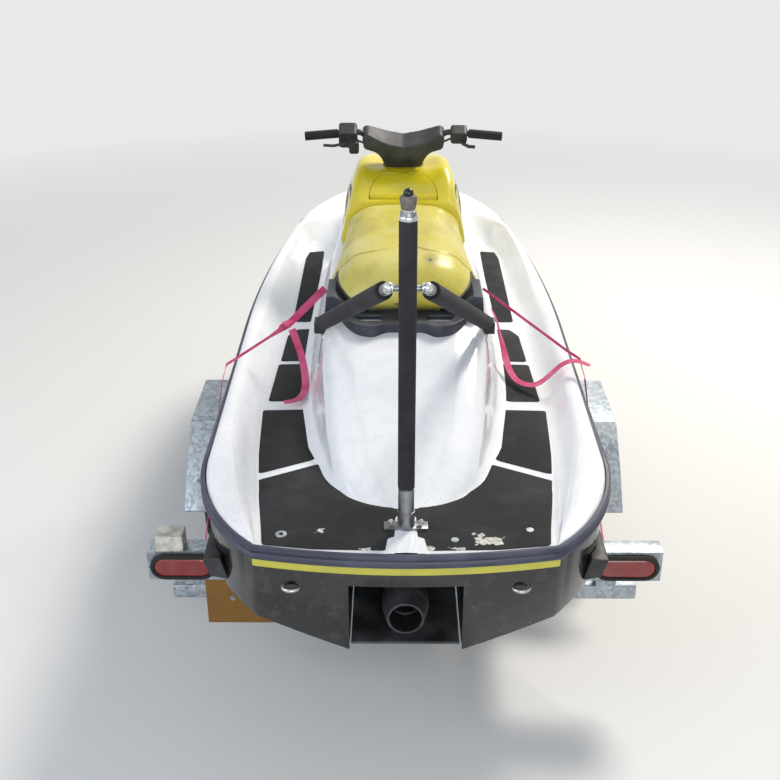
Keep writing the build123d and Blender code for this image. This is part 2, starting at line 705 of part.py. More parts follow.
def make_coupler():
    neck = block(-32, 32, TONGUE_Y - 60, SOCKET_Y, SOCKET_Z - 5, SOCKET_Z + 30)
    plate = block(-TONGUE_X - 18, TONGUE_X + 18, TONGUE_Y - 120, TONGUE_Y + 10, FRAME_TOP, FRAME_TOP + 8)
    head = rod((0, SOCKET_Y, SOCKET_Z - 26), (0, SOCKET_Y, SOCKET_Z + 30), 38)
    dome = Pos(0, SOCKET_Y, SOCKET_Z + 30) * Sphere(38) & block(-60, 60, SOCKET_Y - 60, NOSE_Y + 20, SOCKET_Z + 30, SOCKET_Z + 90)
    latch = block(-9, 9, SOCKET_Y - 130, SOCKET_Y - 40, SOCKET_Z + 30, SOCKET_Z + 62)
    body = neck + plate + head + dome + latch
    body -= rod((0, SOCKET_Y, SOCKET_Z - 40), (0, SOCKET_Y, SOCKET_Z + 24), BALL_R)
    return body - block(-TONGUE_X - 20, TONGUE_X + 20, TONGUE_Y - 200, TONGUE_Y, FRAME_LOW, FRAME_TOP)


ROLLER_R = 34
STOP = (2886, 372)
POST_TOP = 470
DRUM = (2905, 205)
WINCH_SHAFT_R = 8


def make_winch_post():
    post = block(-25, 25, POST_Y - 25, POST_Y + 25, FRAME_TOP + PLATE_T, POST_TOP)
    cheeks = [block(s * 36 - 3, s * 36 + 3, STOP[0] - 12, POST_Y + 10, STOP[1] - 14, STOP[1] + 14) for s in (-1, 1)]
    tie = block(-38, 38, POST_Y - 38, POST_Y - 20, STOP[1] - 14, STOP[1] + 14)
    winch_cheeks = [block(s * 42 - 3, s * 42 + 3, DRUM[0] - 34, POST_Y - 20, DRUM[1] - 34, DRUM[1] + 40) for s in (-1, 1)]
    winch_back = block(-44, 44, POST_Y - 32, POST_Y - 24, DRUM[1] - 34, DRUM[1] + 40)
    pin = rod((-42, STOP[0], STOP[1]), (42, STOP[0], STOP[1]), 8)
    shaft_way = rod((-80, DRUM[0], DRUM[1]), (80, DRUM[0], DRUM[1]), WINCH_SHAFT_R)
    return post + cheeks + tie + (winch_cheeks[0] + winch_cheeks[1] + winch_back - shaft_way) + pin


def make_winch():
    drum = rod((-38, DRUM[0], DRUM[1]), (38, DRUM[0], DRUM[1]), 26)
    shaft = rod((-46, DRUM[0], DRUM[1]), (78, DRUM[0], DRUM[1]), WINCH_SHAFT_R)
    crank = block(66, 74, DRUM[0] - 9, DRUM[0] + 9, DRUM[1] - 9, DRUM[1] + 190)
    knob = rod((74, DRUM[0], DRUM[1] + 180), (150, DRUM[0], DRUM[1] + 180), 14)
    return drum + shaft + crank + knob


JACK_R = 24
JACK_IN = 19
JACK_LOW, JACK_TOP = -60, 300
JOCKEY_R = 80
JOCKEY_W = 46
TRAIL = 35
FORK_GAP = 22            # between the jockey wheel and the fork's crown
FORK_TOP = 2 * JOCKEY_R + FORK_GAP - KEEL_HEIGHT
FORK_PIN = 30            # length of the swivel pin over the crown
FORK_PIN_R = 8


def make_jack():
    tube = rod((0, JACK_Y, JACK_LOW), (0, JACK_Y, JACK_TOP), JACK_R)
    reach = tongue_x(JACK_Y + PLATE_HALF) + RAIL_W / 2 - 4
    tube += block(-reach, reach, JACK_Y - PLATE_HALF, JACK_Y + PLATE_HALF, FRAME_TOP, FRAME_TOP + PLATE_T)
    tube -= rod((0, JACK_Y, JACK_LOW - 1), (0, JACK_Y, JACK_TOP - 40), JACK_IN + RUN)
    crank = block(-8, 8, JACK_Y, JACK_Y + 130, JACK_TOP, JACK_TOP + 14)
    knob = rod((0, JACK_Y + 120, JACK_TOP + 10), (0, JACK_Y + 120, JACK_TOP + 90), 12)
    collar = rod((0, JACK_Y, FRAME_TOP), (0, JACK_Y, FRAME_TOP + 40), JACK_R + 12) - rod(
        (0, JACK_Y, FRAME_TOP - 1), (0, JACK_Y, FRAME_TOP + 41), JACK_IN + RUN)
    return tube + crank + knob + collar


def make_jack_leg():
    tube = rod((0, JACK_Y, FORK_TOP + 1 + CLEAR), (0, JACK_Y, 80), JACK_IN)
    return tube - rod((0, JACK_Y, FORK_TOP), (0, JACK_Y, FORK_TOP + FORK_PIN + CLEAR), FORK_PIN_R + RUN)


def make_jockey_fork():
    z = JOCKEY_R - KEEL_HEIGHT
    pin = rod((0, JACK_Y, FORK_TOP - CLEAR), (0, JACK_Y, FORK_TOP + FORK_PIN), FORK_PIN_R)
    crown = block(-36, 36, JACK_Y - TRAIL - 16, JACK_Y + 20, FORK_TOP - 8, FORK_TOP)
    legs = [block(s * 33 - 3, s * 33 + 3, JACK_Y - TRAIL - 14, JACK_Y - TRAIL + 14, z - 12, FORK_TOP) for s in (-1, 1)]
    axle = rod((-36, JACK_Y - TRAIL, z), (36, JACK_Y - TRAIL, z), 7)
    return pin + crown + legs + axle


def make_jockey_wheel():
    z = JOCKEY_R - KEEL_HEIGHT
    half = JOCKEY_W / 2
    face = make_face(Polyline((7 + RUN, -28), (18, -28), (18, -16), (56, -16), (58, -half), (72, -half), (JOCKEY_R, -half + 9),
                              (JOCKEY_R, half - 9), (72, half), (58, half), (56, 16), (18, 16), (18, 28), (7 + RUN, 28), close=True))
    return revolve(face, Axis.Y).rotate(Axis.Z, -90).moved(Location((0, JACK_Y - TRAIL, z)))


LAMP_Y = 370
LAMP_LOW, LAMP_TOP = 12, 114
LAMP_IN = WIDTH_HALF - 417     # inner end of the bracket
LAMP_XS = (WIDTH_HALF - 313, WIDTH_HALF - 105)
LAMP_POST = (WIDTH_HALF - 185, WIDTH_HALF - 125)
MARKER_X = (WIDTH_HALF - 110, WIDTH_HALF - 30)
PLATE_X = WIDTH_HALF - 165     # outer edge of the number plate
PLATE_W, PLATE_H = 330, 165


def make_lamp_bracket():
    profile = [(LAMP_Y, LAMP_LOW), (LAMP_Y, LAMP_TOP), (LAMP_Y + 62, LAMP_TOP), (LAMP_Y + 62, LAMP_TOP - 4),
               (LAMP_Y + 4, LAMP_TOP - 4), (LAMP_Y + 4, LAMP_LOW + 4), (LAMP_Y + 62, LAMP_LOW + 4), (LAMP_Y + 62, LAMP_LOW)]
    channel = side_slab(profile, LAMP_IN, WIDTH_HALF)
    for x in LAMP_XS:
        channel -= oval(x, LAMP_Y - 5, LAMP_Y + 10, 170, 60)
    leg = block(*LAMP_POST, CROSS_YS[0] - 25, CROSS_YS[0] + 12, CROSS_TOP, LAMP_LOW)
    return channel + leg


def oval(x, y0, y1, width, height):
    """A flat-sided oval standing across the craft."""
    z = (LAMP_LOW + LAMP_TOP) / 2
    return extrude(cross_plane(y1) * Pos(x, z) * SlotOverall(width, height), y1 - y0)


def make_lamps():
    lamps = []
    for x in LAMP_XS:
        lamps.append(oval(x, LAMP_Y - 9, LAMP_Y - 0.2, 194, 86) + oval(x, LAMP_Y - 14, LAMP_Y - 5, 165, 57)
                     + oval(x, LAMP_Y - 6, LAMP_Y + 30, 168, 58))
    return group([piece for lamp in lamps for piece in both(lamp)])


def strap(points, width, thick, across):
    """A taut flat band: a straight run between each two points, its width along across."""
    pieces = []
    for a, b in zip(points, points[1:]):
        start, along = Vector(*a), Vector(*b) - Vector(*a)
        level_dir = Vector(*across) - along * (along.dot(Vector(*across)) / along.dot(along))
        plane = Plane(origin=start, x_dir=level_dir, z_dir=along)
        pieces.append(extrude(plane * Rectangle(width, thick), along.length))
        if b != points[-1]:
            half = level_dir.normalized() * (width / 2)
            middle = Vector(*b)
            pieces.append(rod(middle - half, middle + half, thick / 2))
    return pieces[0] + pieces[1:]


STRAP_W = 25
STRAP_T = 3
KNOT = (-385, 1020, 566)
STRAP_LEFT = [(-266, 1118, 640), KNOT, (-540, 940, 488), (-580, 920, 468), (-594, 880, 420), (-622, 452, -20)]
STRAP_RIGHT = [(264, 1118, 640), (540, 985, 490), (580, 965, 470), (594, 925, 422), (622, 452, -20)]
TAIL_W = 25
TAIL_LEFT = [(-372, 1016, 552), (-352, 1010, 498), (-336, 990, 444), (-326, 945, 408), (-322, 885, 396),
             (-330, 830, 396), (-352, 796, 396), (-384, 790, 396)]
LOOSE_RIGHT = [(292, 1080, 600), (312, 1096, 558), (326, 1096, 508), (340, 1062, 452), (350, 1010, 418), (366, 950, 404),
               (394, 905, 404), (434, 882, 414), (472, 884, 448), (510, 890, 488), (554, 880, 508), (594, 856, 496)]


def corner_radii(points):
    """The largest arc at each corner: 0.45 of its shorter run over the tangent of half its turn."""
    radii = []
    for a, b, c in zip(points, points[1:], points[2:]):
        before, after = Vector(*b) - Vector(*a), Vector(*c) - Vector(*b)
        turn = radians(before.get_angle(after))
        radii.append(0.45 * min(before.length, after.length) / tan(turn / 2))
    return radii


def cord_tube(name, points, diameter):
    radii = corner_radii(points)
    path = FilletPolyline(*points, radius=radii)
    tube = sweep(Plane(origin=path @ 0, z_dir=path % 0) * Circle(diameter / 2), path)
    ideal = path.length * pi * diameter ** 2 / 4
    print(name, "length", round(path.length), "radii", [round(r) for r in radii], "volume ratio", round(tube.volume / ideal, 4))
    return tube


# Craft
hull = make_hull()
node("hull", hull)
ears = [block(side * EAR[0], side * EAR[1], HOOD_AXIS[0] - HOOD_BARREL_R, HOOD_AXIS[0] + HOOD_BARREL_R,
              sheer(HOOD_AXIS[0]) + DECK_T / 2, HOOD_AXIS[1] + 6) for side in (-1, 1)]
deck = make_deck() + ears + hood_rod(EAR[1], HOOD_PIN_R)
node("deck", deck)
spine = make_centre_moulding() - hood_rod(EAR[0], HOOD_BARREL_R + CLEAR) - deck
node("centre_moulding", spine)
node("rub_rail", make_rub_rail())
node("stern_stripe", make_stern_stripe())
node("traction_mats", make_mats())
node("seat", loft_of(SEAT, seat_half) - block(-400, 400, 800, SEAT_FRONT + 10, 500, SEAT_BASE + SKIN))

hand = plan_slab(mirrored_outline([(0, 822), (70, 822), (92, 790), (165, 806), (226, 880), (244, 950), (0, 944)]), 585, 646)
for side in (-1, 1):
    hand -= block(side * 92, side * 188, 850, 900, 560, 660)
node("rear_grab_handle", hand - loft_of(SPINE, spine_half))

def lid_rod(x0, x1, radius):
    """A bar along the lid's hinge."""
    centre = lid_plane().from_local_coords((0, *LID_AXIS))
    return rod((x0, centre.Y, centre.Z), (x1, centre.Y, centre.Z), radius)


lid_cut = extrude(face_on(lid_plane(), lid_outline(CLEAR)), 12) + extrude(face_on(lid_plane(), lid_outline(CLEAR)), -LID_T - CLEAR)
for side in (-1, 1):
    lid_cut += lid_rod(side * (LID_BARREL[0] - CLEAR), side * (LID_BARREL[1] + CLEAR), LID_BARREL_R + CLEAR)
lid_pins = [lid_rod(side * (LID_BARREL[0] - 2 * CLEAR), side * (LID_BARREL[1] + 2 * CLEAR), LID_PIN_R) for side in (-1, 1)]
lid = extrude(face_on(lid_plane(), lid_outline(0)), -LID_T)
for side in (-1, 1):
    near, far = side * LID_BARREL[0], side * LID_BARREL[1]
    web = [(near, LID_AXIS[0]), (far, LID_AXIS[0]), (far, 2), (near, 2)]
    lid += extrude(face_on(lid_plane(), web), LID_AXIS[1] - LID_BARREL_R) + lid_rod(near, far, LID_BARREL_R)
    lid -= lid_rod(near * 0.9, far * 1.1, LID_PIN_R + RUN)
glove = extrude(face_on(lid_plane(), lid_outline(-14)), -GLOVE_DEPTH)
stem_way = steer_plane(-130) * Cylinder(STEM_R + RUN, 400)
console = loft_of(CONSOLE, console_half, ruled=True)
node("console", (console - lid_cut - glove - stem_way) + lid_pins)
node("glovebox_lid", lid)
hood_shell = loft_of(HOOD, lambda row: console_half(row, gap=CLEAR))
hood_inside = loft_of([(row[0] + (HOOD_WALL if row is HOOD[0] else -HOOD_WALL if row is HOOD[-1] else 0), *row[1:]) for row in HOOD],
                      lambda row: console_half(row, wall=HOOD_WALL, gap=CLEAR))
web = block(-HOOD_BARREL, HOOD_BARREL, HOOD[-1][0] - HOOD_WALL, HOOD_AXIS[0], HOOD_AXIS[1] - 4, HOOD_AXIS[1] + HOOD_BARREL_R)
node("hood", (hood_shell - hood_inside) + web + hood_rod(HOOD_BARREL, HOOD_BARREL_R) - hood_rod(2 * HOOD_BARREL, HOOD_PIN_R + RUN))

steer = steer_plane()
bar = bar_local()
grips = [rod((s * BAR_TIP * 1.004, -16, BAR_RISE), (s * (BAR_TIP - GRIP_L), -6.3, BAR_RISE + 4.9), GRIP_R) for s in (-1, 1)]
controls = [block(s * 192, s * 240, -26, 22, BAR_RISE - 20, BAR_RISE + 30) for s in (-1, 1)]
levers = [rod((-205, -20, BAR_RISE), (-300, -62, BAR_RISE - 4), 6), rod((205, -10, BAR_RISE - 16), (262, -44, BAR_RISE - 26), 8)]
stem = Pos(0, 0, -40) * Cylinder(STEM_R, 230)
node("handlebar", steer * bar)
node("steering_stem", steer * (stem - bar - make_pad()))
node("bar_pad", steer * (make_pad() - bar))
node("grips", group([steer * (grip - bar) for grip in grips]))
node("bar_controls", group([steer * (control + lever - bar) for control, lever in zip(controls, levers)]))

node("jet_pump", make_pump())
node("steering_nozzle", make_nozzle())
node("impeller", make_impeller())
grate = [block(x - 4, x + 4, TUNNEL_END, INTAKE_END, 18, 29) for x in (-48, -16, 16, 48)]
grate += [block(-INTAKE_X, INTAKE_X, y, y + 10, 28, 37) for y in (TUNNEL_END + 20, INTAKE_END - 100)]
node("intake_grate", grate[0] + grate[1:] - hull)
node("ride_plate", block(-TUNNEL_X + 1, TUNNEL_X - 1, 70, PUMP_FRONT - 2, 18, 26))
sponson = cross_slab([(480, 196), (530, 206), (548, 262), (500, 266)], 120, 900)
node("sponsons", group([piece - hull for piece in both(sponson)]))
node("engine_block", block(50 - BAY_X, BAY_X - 50, BAY_Y0 + 75, BAY_Y1 - 70, BAY_Z, BAY_Z + 330))
bow_eye = Pos(0, 2722, 238) * (Rot(0, 90, 0) * (Torus(22, 6)))
stern_eyes = [Pos(s * 300, 20, 250) * (Rot(0, 0, 90) * Torus(22, 6)) for s in (-1, 1)]
node("towing_eyes", group([eye - hull for eye in [bow_eye, *stern_eyes]]))

pole = make_pole()
foam = rod((POLE_X, POLE_Y, FOAM_LOW), (POLE_X, POLE_Y, FOAM_TOP), FOAM_R) - pole
node("tow_pole", pole)
knob = rod((POLE_X, POLE_Y, FOAM_TOP + 20), (POLE_X, POLE_Y, FOAM_TOP + 34), 16)
knob += rod((POLE_X, POLE_Y, FOAM_TOP + 34), (POLE_X, POLE_Y, FOAM_TOP + 44), 11)
knob += Pos(POLE_X, POLE_Y, FOAM_TOP + 54) * Sphere(18) & block(-30, 30, POLE_Y - 30, POLE_Y + 30, FOAM_TOP + 40, FOAM_TOP + 68)
knob += Pos(POLE_X, POLE_Y, POLE_TOP - 11) * Sphere(11)
node("tow_knob", knob)
arms = brace(BRACE_R, 0.0, 1.0) - pole
node("brace_arms", group(both(arms)))
node("tow_foam", group([foam, *both(brace(BRACE_FOAM_R, 0.05, 0.97) - brace(BRACE_R) - pole)]))
clamp = block(CLAMP[0] - 20, CLAMP[0] + 20, CLAMP[1] - 30, CLAMP[1] + 24, CLAMP[2] - 46, CLAMP[2] + 30)
clamp = clamp - loft_of(SPINE, spine_half) - brace(BRACE_R) - brace(BRACE_FOAM_R, 0.05, 0.97)
node("brace_clamps", group(both(clamp)))

left_strap = strap(STRAP_LEFT, STRAP_W, STRAP_T, (0, 1, 0.2)) + Pos(*KNOT) * Box(24, 30, 22)
node("tie_straps", group([left_strap, strap(STRAP_RIGHT, STRAP_W, STRAP_T, (0, 1, 0.2))]))
node("strap_tail_left", cord_tube("left tail", TAIL_LEFT, TAIL_W))
node("strap_loose_right", cord_tube("right loose band", LOOSE_RIGHT, TAIL_W))

# Trailer
node("trailer_frame", make_frame())
node("drawbar", make_drawbar())
node("drawbar_plates", make_drawbar_plates())
node("bunks", make_bunks())
node("bunk_brackets", make_bunk_brackets())
node("axle", make_axle())
node("leaf_springs", group(both(make_spring())))
tyre, rim = make_tyre(), make_rim()
for side, name in ((-1, "left"), (1, "right")):
    node(f"tyre_{name}", at_wheel(tyre, side))
    node(f"rim_{name}", at_wheel(rim, side))
node("fenders", group(both(make_fender())))
node("coupler", make_coupler())
node("winch_post", make_winch_post())
node("bow_roller", rod((-32, STOP[0], STOP[1]), (32, STOP[0], STOP[1]), ROLLER_R) - rod(
    (-42, STOP[0], STOP[1]), (42, STOP[0], STOP[1]), 8))
node("winch", make_winch())
node("winch_strap", strap([(0, DRUM[0] - 10, DRUM[1] + 27), (0, 2751, 240)], 40, 3, (1, 0, 0)))
node("jack", make_jack())
node("jack_leg", make_jack_leg())
node("jockey_fork", make_jockey_fork())
node("jockey_wheel", make_jockey_wheel())
node("lamp_brackets", group(both(make_lamp_bracket())))
node("tail_lamps", make_lamps())
node("marker_lamp", block(-MARKER_X[1], -MARKER_X[0], LAMP_Y - 2, LAMP_Y + 60, LAMP_TOP, LAMP_TOP + 52))
node("number_plate", block(-PLATE_X, PLATE_W - PLATE_X, LAMP_Y + 6, LAMP_Y + 9, LAMP_LOW - PLATE_H, LAMP_LOW))

for name, shape in NODES.items():
    solids = [Pos(0, -MID_Y, KEEL_HEIGHT) * solid for solid in shape.solids()]
    export_step(solids[0] if len(solids) == 1 else Compound(solids), f"parts/{name}.step")
    print(name, len(solids), round(sum(solid.volume for solid in solids) / 1e6, 2))
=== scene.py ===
# %% [markdown]
# # A two-seat watercraft on its road trailer
# A glass-fibre craft that has seen some summers, tied down on a light galvanised trailer, with a padded tow pole at
# its stern. The solids come from the CAD model. Here they get the surfaces, soft parts and finishes of the real one.

# %% Tools, and the frame that everything is fitted to
import bpy
import bmesh
import math
import numpy as np
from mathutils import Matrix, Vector
from mathutils.bvhtree import BVHTree
from mathutils.kdtree import KDTree

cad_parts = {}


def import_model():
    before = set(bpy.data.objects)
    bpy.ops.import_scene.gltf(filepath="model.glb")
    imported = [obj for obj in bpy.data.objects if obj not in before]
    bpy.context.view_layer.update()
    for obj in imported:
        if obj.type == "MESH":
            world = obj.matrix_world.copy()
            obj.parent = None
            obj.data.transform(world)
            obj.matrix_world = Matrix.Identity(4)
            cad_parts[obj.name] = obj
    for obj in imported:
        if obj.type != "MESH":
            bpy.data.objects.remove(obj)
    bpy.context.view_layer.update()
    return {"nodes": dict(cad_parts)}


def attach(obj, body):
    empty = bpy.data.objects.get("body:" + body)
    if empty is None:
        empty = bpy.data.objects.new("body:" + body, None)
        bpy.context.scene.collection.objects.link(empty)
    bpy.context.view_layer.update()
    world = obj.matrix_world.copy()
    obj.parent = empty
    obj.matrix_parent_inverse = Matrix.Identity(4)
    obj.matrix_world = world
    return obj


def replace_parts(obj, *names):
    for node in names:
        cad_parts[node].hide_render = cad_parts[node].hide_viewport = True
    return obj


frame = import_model()
scene = bpy.context.scene

# %% [markdown]
# ## One set of coordinates
# The craft is easiest to describe from its own transom and keel: X to starboard, Y forward, Z up, in metres. The
# model stands with its origin on the ground under the middle, so one function carries points across.

# %% From the craft's own coordinates to the model's
MID_Y = 1.7725
KEEL = 0.4


def world(point):
    return (point[0], point[1] - MID_Y, point[2] + KEEL)


ORIGIN = Vector(world((0, 0, 0)))


def linked(name, data):
    """A new object in the scene."""
    obj = bpy.data.objects.new(name, data)
    scene.collection.objects.link(obj)
    return obj


def plain_mesh(obj):
    """A new mesh of the object's shape as its modifiers leave it."""
    return bpy.data.meshes.new_from_object(obj.evaluated_get(bpy.context.evaluated_depsgraph_get()))


def joined(name, verts, faces, smooth=True):
    """A mesh object from craft coordinates, with its normals pointing outwards."""
    mesh = bpy.data.meshes.new(name)
    mesh.from_pydata([world(v) for v in verts], [], faces)
    bm = bmesh.new()
    bm.from_mesh(mesh)
    bmesh.ops.remove_doubles(bm, verts=bm.verts, dist=1e-5)
    bmesh.ops.dissolve_degenerate(bm, dist=1e-5, edges=bm.edges)
    bmesh.ops.recalc_face_normals(bm, faces=bm.faces)
    for face in bm.faces:
        face.smooth = smooth
    bm.to_mesh(mesh)
    bm.free()
    return linked(name, mesh)


def skin(rows, closed=False, caps=False):
    """Vertices and faces of a surface through rows of points, each row as long as the next."""
    n = len(rows[0])
    verts = [p for row in rows for p in row]
    faces = []
    for i in range(len(rows) - 1):
        for j in range(n if closed else n - 1):
            k = (j + 1) % n
            faces.append((i * n + j, i * n + k, (i + 1) * n + k, (i + 1) * n + j))
    if caps:
        faces.append(tuple(range(n)))
        faces.append(tuple((len(rows) - 1) * n + j for j in range(n)))
    return verts, faces


def solid(name, rings, smooth=False):
    """A closed solid through rings of craft coordinates."""
    return joined(name, *skin(rings, closed=True, caps=True), smooth=smooth)


def closed_half(half):
    """A closed ring from its starboard half, which starts and ends on the middle."""
    return half + [(-x, z) for x, z in reversed(half[1:-1])]


def angles_round(count, shift=0.0, closed=False):
    """Angles evenly round a circle, in radians; closed repeats the first one at the end."""
    return [2 * math.pi * (k + shift) / count for k in range(count + closed)]


def clamped(value, low=0.0):
    return min(max(value, low), 1.0)


def fair(knots, values, x):
    """A smooth curve through the values at the knots, held level beyond them."""
    knots, values = np.asarray(knots, float), np.asarray(values, float)
    x = np.clip(x, knots[0], knots[-1])
    slopes = np.gradient(values, knots)
    i = np.clip(np.searchsorted(knots, x) - 1, 0, len(knots) - 2)
    h = knots[i + 1] - knots[i]
    t = (x - knots[i]) / h
    return (values[i] * (1 + 2 * t) * (1 - t) ** 2 + slopes[i] * h * t * (1 - t) ** 2
            + values[i + 1] * t * t * (3 - 2 * t) + slopes[i + 1] * h * t * t * (t - 1))


def column(table, k, x):
    """Column k of a table whose first column is y, read smoothly at x."""
    return float(fair([row[0] for row in table], [row[k] for row in table], x))


def rounded(points, cuts, arc=8, run=4):
    """A line of corners with each corner rounded, always with the same count of points.

    cuts[i] is how far along its two runs the rounding of corner i reaches.
    """
    p = [np.array(q, float) for q in points]
    line, last = [], p[0]
    for i in range(1, len(p) - 1):
        before, after = p[i - 1] - p[i], p[i + 1] - p[i]
        cut = min(cuts[i - 1], 0.48 * np.linalg.norm(before), 0.48 * np.linalg.norm(after))
        a = p[i] + before * cut / max(np.linalg.norm(before), 1e-9)
        b = p[i] + after * cut / max(np.linalg.norm(after), 1e-9)
        line += [last + (a - last) * k / run for k in range(run)]
        line += [a * (1 - t) ** 2 + p[i] * 2 * t * (1 - t) + b * t * t for t in [k / arc for k in range(arc)]]
        last = b
    line += [last + (p[-1] - last) * k / run for k in range(run + 1)]
    return line


# %% [markdown]
# ## Camera
# The photographer stood close behind the stern and looked down on the craft. Matching the gunwale's outline gave the
# lens, the height and the tilt, so the camera is set to those numbers and not moved by eye.

# %% The photograph's viewpoint
LENS_MM, SENSOR_MM = 49.85, 36.0
EYE = (-0.03, -2.28, 1.961)
LOOKS_DOWN, LOOKS_LEFT = 26.35, 0.29

camera_data = bpy.data.cameras.new("camera")
camera_data.lens = LENS_MM
camera_data.sensor_width = SENSOR_MM
camera_data.clip_start = 0.05
camera = linked("camera", camera_data)
camera.location = world(EYE)
camera.rotation_euler = (math.radians(90 - LOOKS_DOWN), 0.0, math.radians(LOOKS_LEFT))
scene.camera = camera
scene.view_settings.view_transform = "Standard"
print("camera at", [round(c, 3) for c in camera.location])

# %% [markdown]
# ## Colours and nodes
# Paint charts give colours as the eye sees them, and light adds up in another scale. One function turns the first
# into the second. A second small function adds a shader node with its settings and links, so a recipe reads as a list.

# %% Colour and node helpers


def linear(chart):
    parts = [int(chart[i:i + 2], 16) / 255 for i in (1, 3, 5)]
    return tuple(c / 12.92 if c <= 0.04045 else ((c + 0.055) / 1.055) ** 2.4 for c in parts) + (1.0,)


def add(tree, kind, inputs=None, **settings):
    node = tree.nodes.new(kind)
    for key, value in settings.items():
        setattr(node, key, value)
    for key, value in (inputs or {}).items():
        if isinstance(value, bpy.types.NodeSocket):
            tree.links.new(value, node.inputs[key])
        else:
            node.inputs[key].default_value = value
    return node


def start_finish(name, rough=0.5, **shader_values):
    """A new material with one Principled shader, its tree, the shader and the place on the object."""
    mat = bpy.data.materials.new(name)
    mat.use_nodes = True
    tree = mat.node_tree
    shader = tree.nodes["Principled BSDF"]
    shader.inputs["Roughness"].default_value = rough
    for key, value in shader_values.items():
        shader.inputs[key.replace("_", " ")].default_value = value
    place = add(tree, "ShaderNodeTexCoord").outputs["Object"]
    return mat, tree, shader, place


def noise(tree, place, size_mm, detail=4.0, stretch=None):
    """Cloudy noise whose blobs are size_mm across, wider along an axis where stretch says so."""
    if stretch:
        place = add(tree, "ShaderNodeVectorMath", {0: place, 1: stretch}, operation="MULTIPLY").outputs[0]
    return add(tree, "ShaderNodeTexNoise", {"Vector": place, "Scale": 1000 / size_mm, "Detail": detail}).outputs["Fac"]


def spread(tree, value, low, high, to_low=0.0, to_high=1.0):
    """Stretches the range low to high of a value, and clamps the rest."""
    limits = {"Value": value, "From Min": low, "From Max": high, "To Min": to_low, "To Max": to_high}
    return add(tree, "ShaderNodeMapRange", limits).outputs["Result"]


def mixed(tree, share, first, second):
    """One colour over another; a colour is a chart number or a socket."""
    pick = [linear(c) if isinstance(c, str) else c for c in (first, second)]
    node = add(tree, "ShaderNodeMix", data_type="RGBA")
    for socket, value in ((node.inputs[0], share), (node.inputs[6], pick[0]), (node.inputs[7], pick[1])):
        if isinstance(value, bpy.types.NodeSocket):
            tree.links.new(value, socket)
        else:
            socket.default_value = value
    return node.outputs[2]


def math_node(tree, operation, a, b=0.0):
    return add(tree, "ShaderNodeMath", {0: a, 1: b}, operation=operation).outputs[0]


def relief(tree, shader, height, depth_mm, strength=1.0):
    """Bumps of depth_mm where height goes from 0 to 1."""
    bump = add(tree, "ShaderNodeBump", {"Height": height, "Distance": depth_mm / 1000, "Strength": strength})
    tree.links.new(bump.outputs["Normal"], shader.inputs["Normal"])


def tinted(tree, colour, mask, share, chart):
    """A second colour over the first where the mask is, by no more than the share."""
    return mixed(tree, math_node(tree, "MULTIPLY", mask, share), colour, chart)


def painted(tree, shader, colour, rough=None):
    """Links the shader's colour, and its roughness where that varies."""
    tree.links.new(colour, shader.inputs["Base Color"])
    if rough is not None:
        tree.links.new(rough, shader.inputs["Roughness"])


# %% [markdown]
# ## Webbing
# Ratchet straps are woven polyester. The ribs run across the band, and salt and sun bleach the pink in clouds. The
# ribs come from a wave across the band's own length, which each band keeps as its UV.

# %% Pink polyester webbing


def woven_polyester(name, chart, faded):
    mat, tree, shader, place = start_finish(name, 0.85, Sheen_Weight=0.25, Sheen_Roughness=0.5)
    uv = add(tree, "ShaderNodeUVMap", uv_map="weave").outputs["UV"]
    ribs = add(tree, "ShaderNodeTexWave", {"Vector": uv, "Scale": 420.0, "Distortion": 0.6}, bands_direction="X")
    selvedge = add(tree, "ShaderNodeTexWave", {"Vector": uv, "Scale": 160.0, "Distortion": 0.3}, bands_direction="Y")
    cloud = spread(tree, noise(tree, place, 60), 0.4, 0.65)
    colour = mixed(tree, cloud, chart, faded)
    # Darker pink in the grooves between the ribs is painted shade.
    dark = spread(tree, ribs.outputs["Fac"], 0.0, 0.6, 0.45, 0.0)
    painted(tree, shader, mixed(tree, dark, colour, "#9C1F50"))
    height = math_node(tree, "MULTIPLY", ribs.outputs["Fac"], selvedge.outputs["Fac"])
    relief(tree, shader, height, 0.5)
    return mat


pink_webbing = woven_polyester("pink polyester webbing", "#E23A78", "#EE6F9C")

# %% [markdown]
# ## The straps
# A strap is a flat band that only bends one way, so it twists where it changes direction. The two loose bands are
# drawn along a NURBS curve through their route, and a flat band is laid along it with a direction for its width.

# %% Bands along a line
BAND_W = 0.025
BAND_T = 0.0016
FLAT_SHARE = 0.94  # of a band's width; the rest tapers to its two edges


def nurbs_line(name, route):
    """Points along a smooth curve that has the route's corners as its control points."""
    data = bpy.data.curves.new(name, "CURVE")
    data.dimensions = "3D"
    spline = data.splines.new("NURBS")
    spline.points.add(len(route) - 1)
    for point, place in zip(spline.points, route):
        point.co = (*world(place), 1.0)
    spline.order_u = 3
    spline.use_endpoint_u = True
    spline.resolution_u = 14
    obj = linked(name, data)
    points = [Vector(v.co) for v in plain_mesh(obj).vertices]
    bpy.data.objects.remove(obj)
    return points


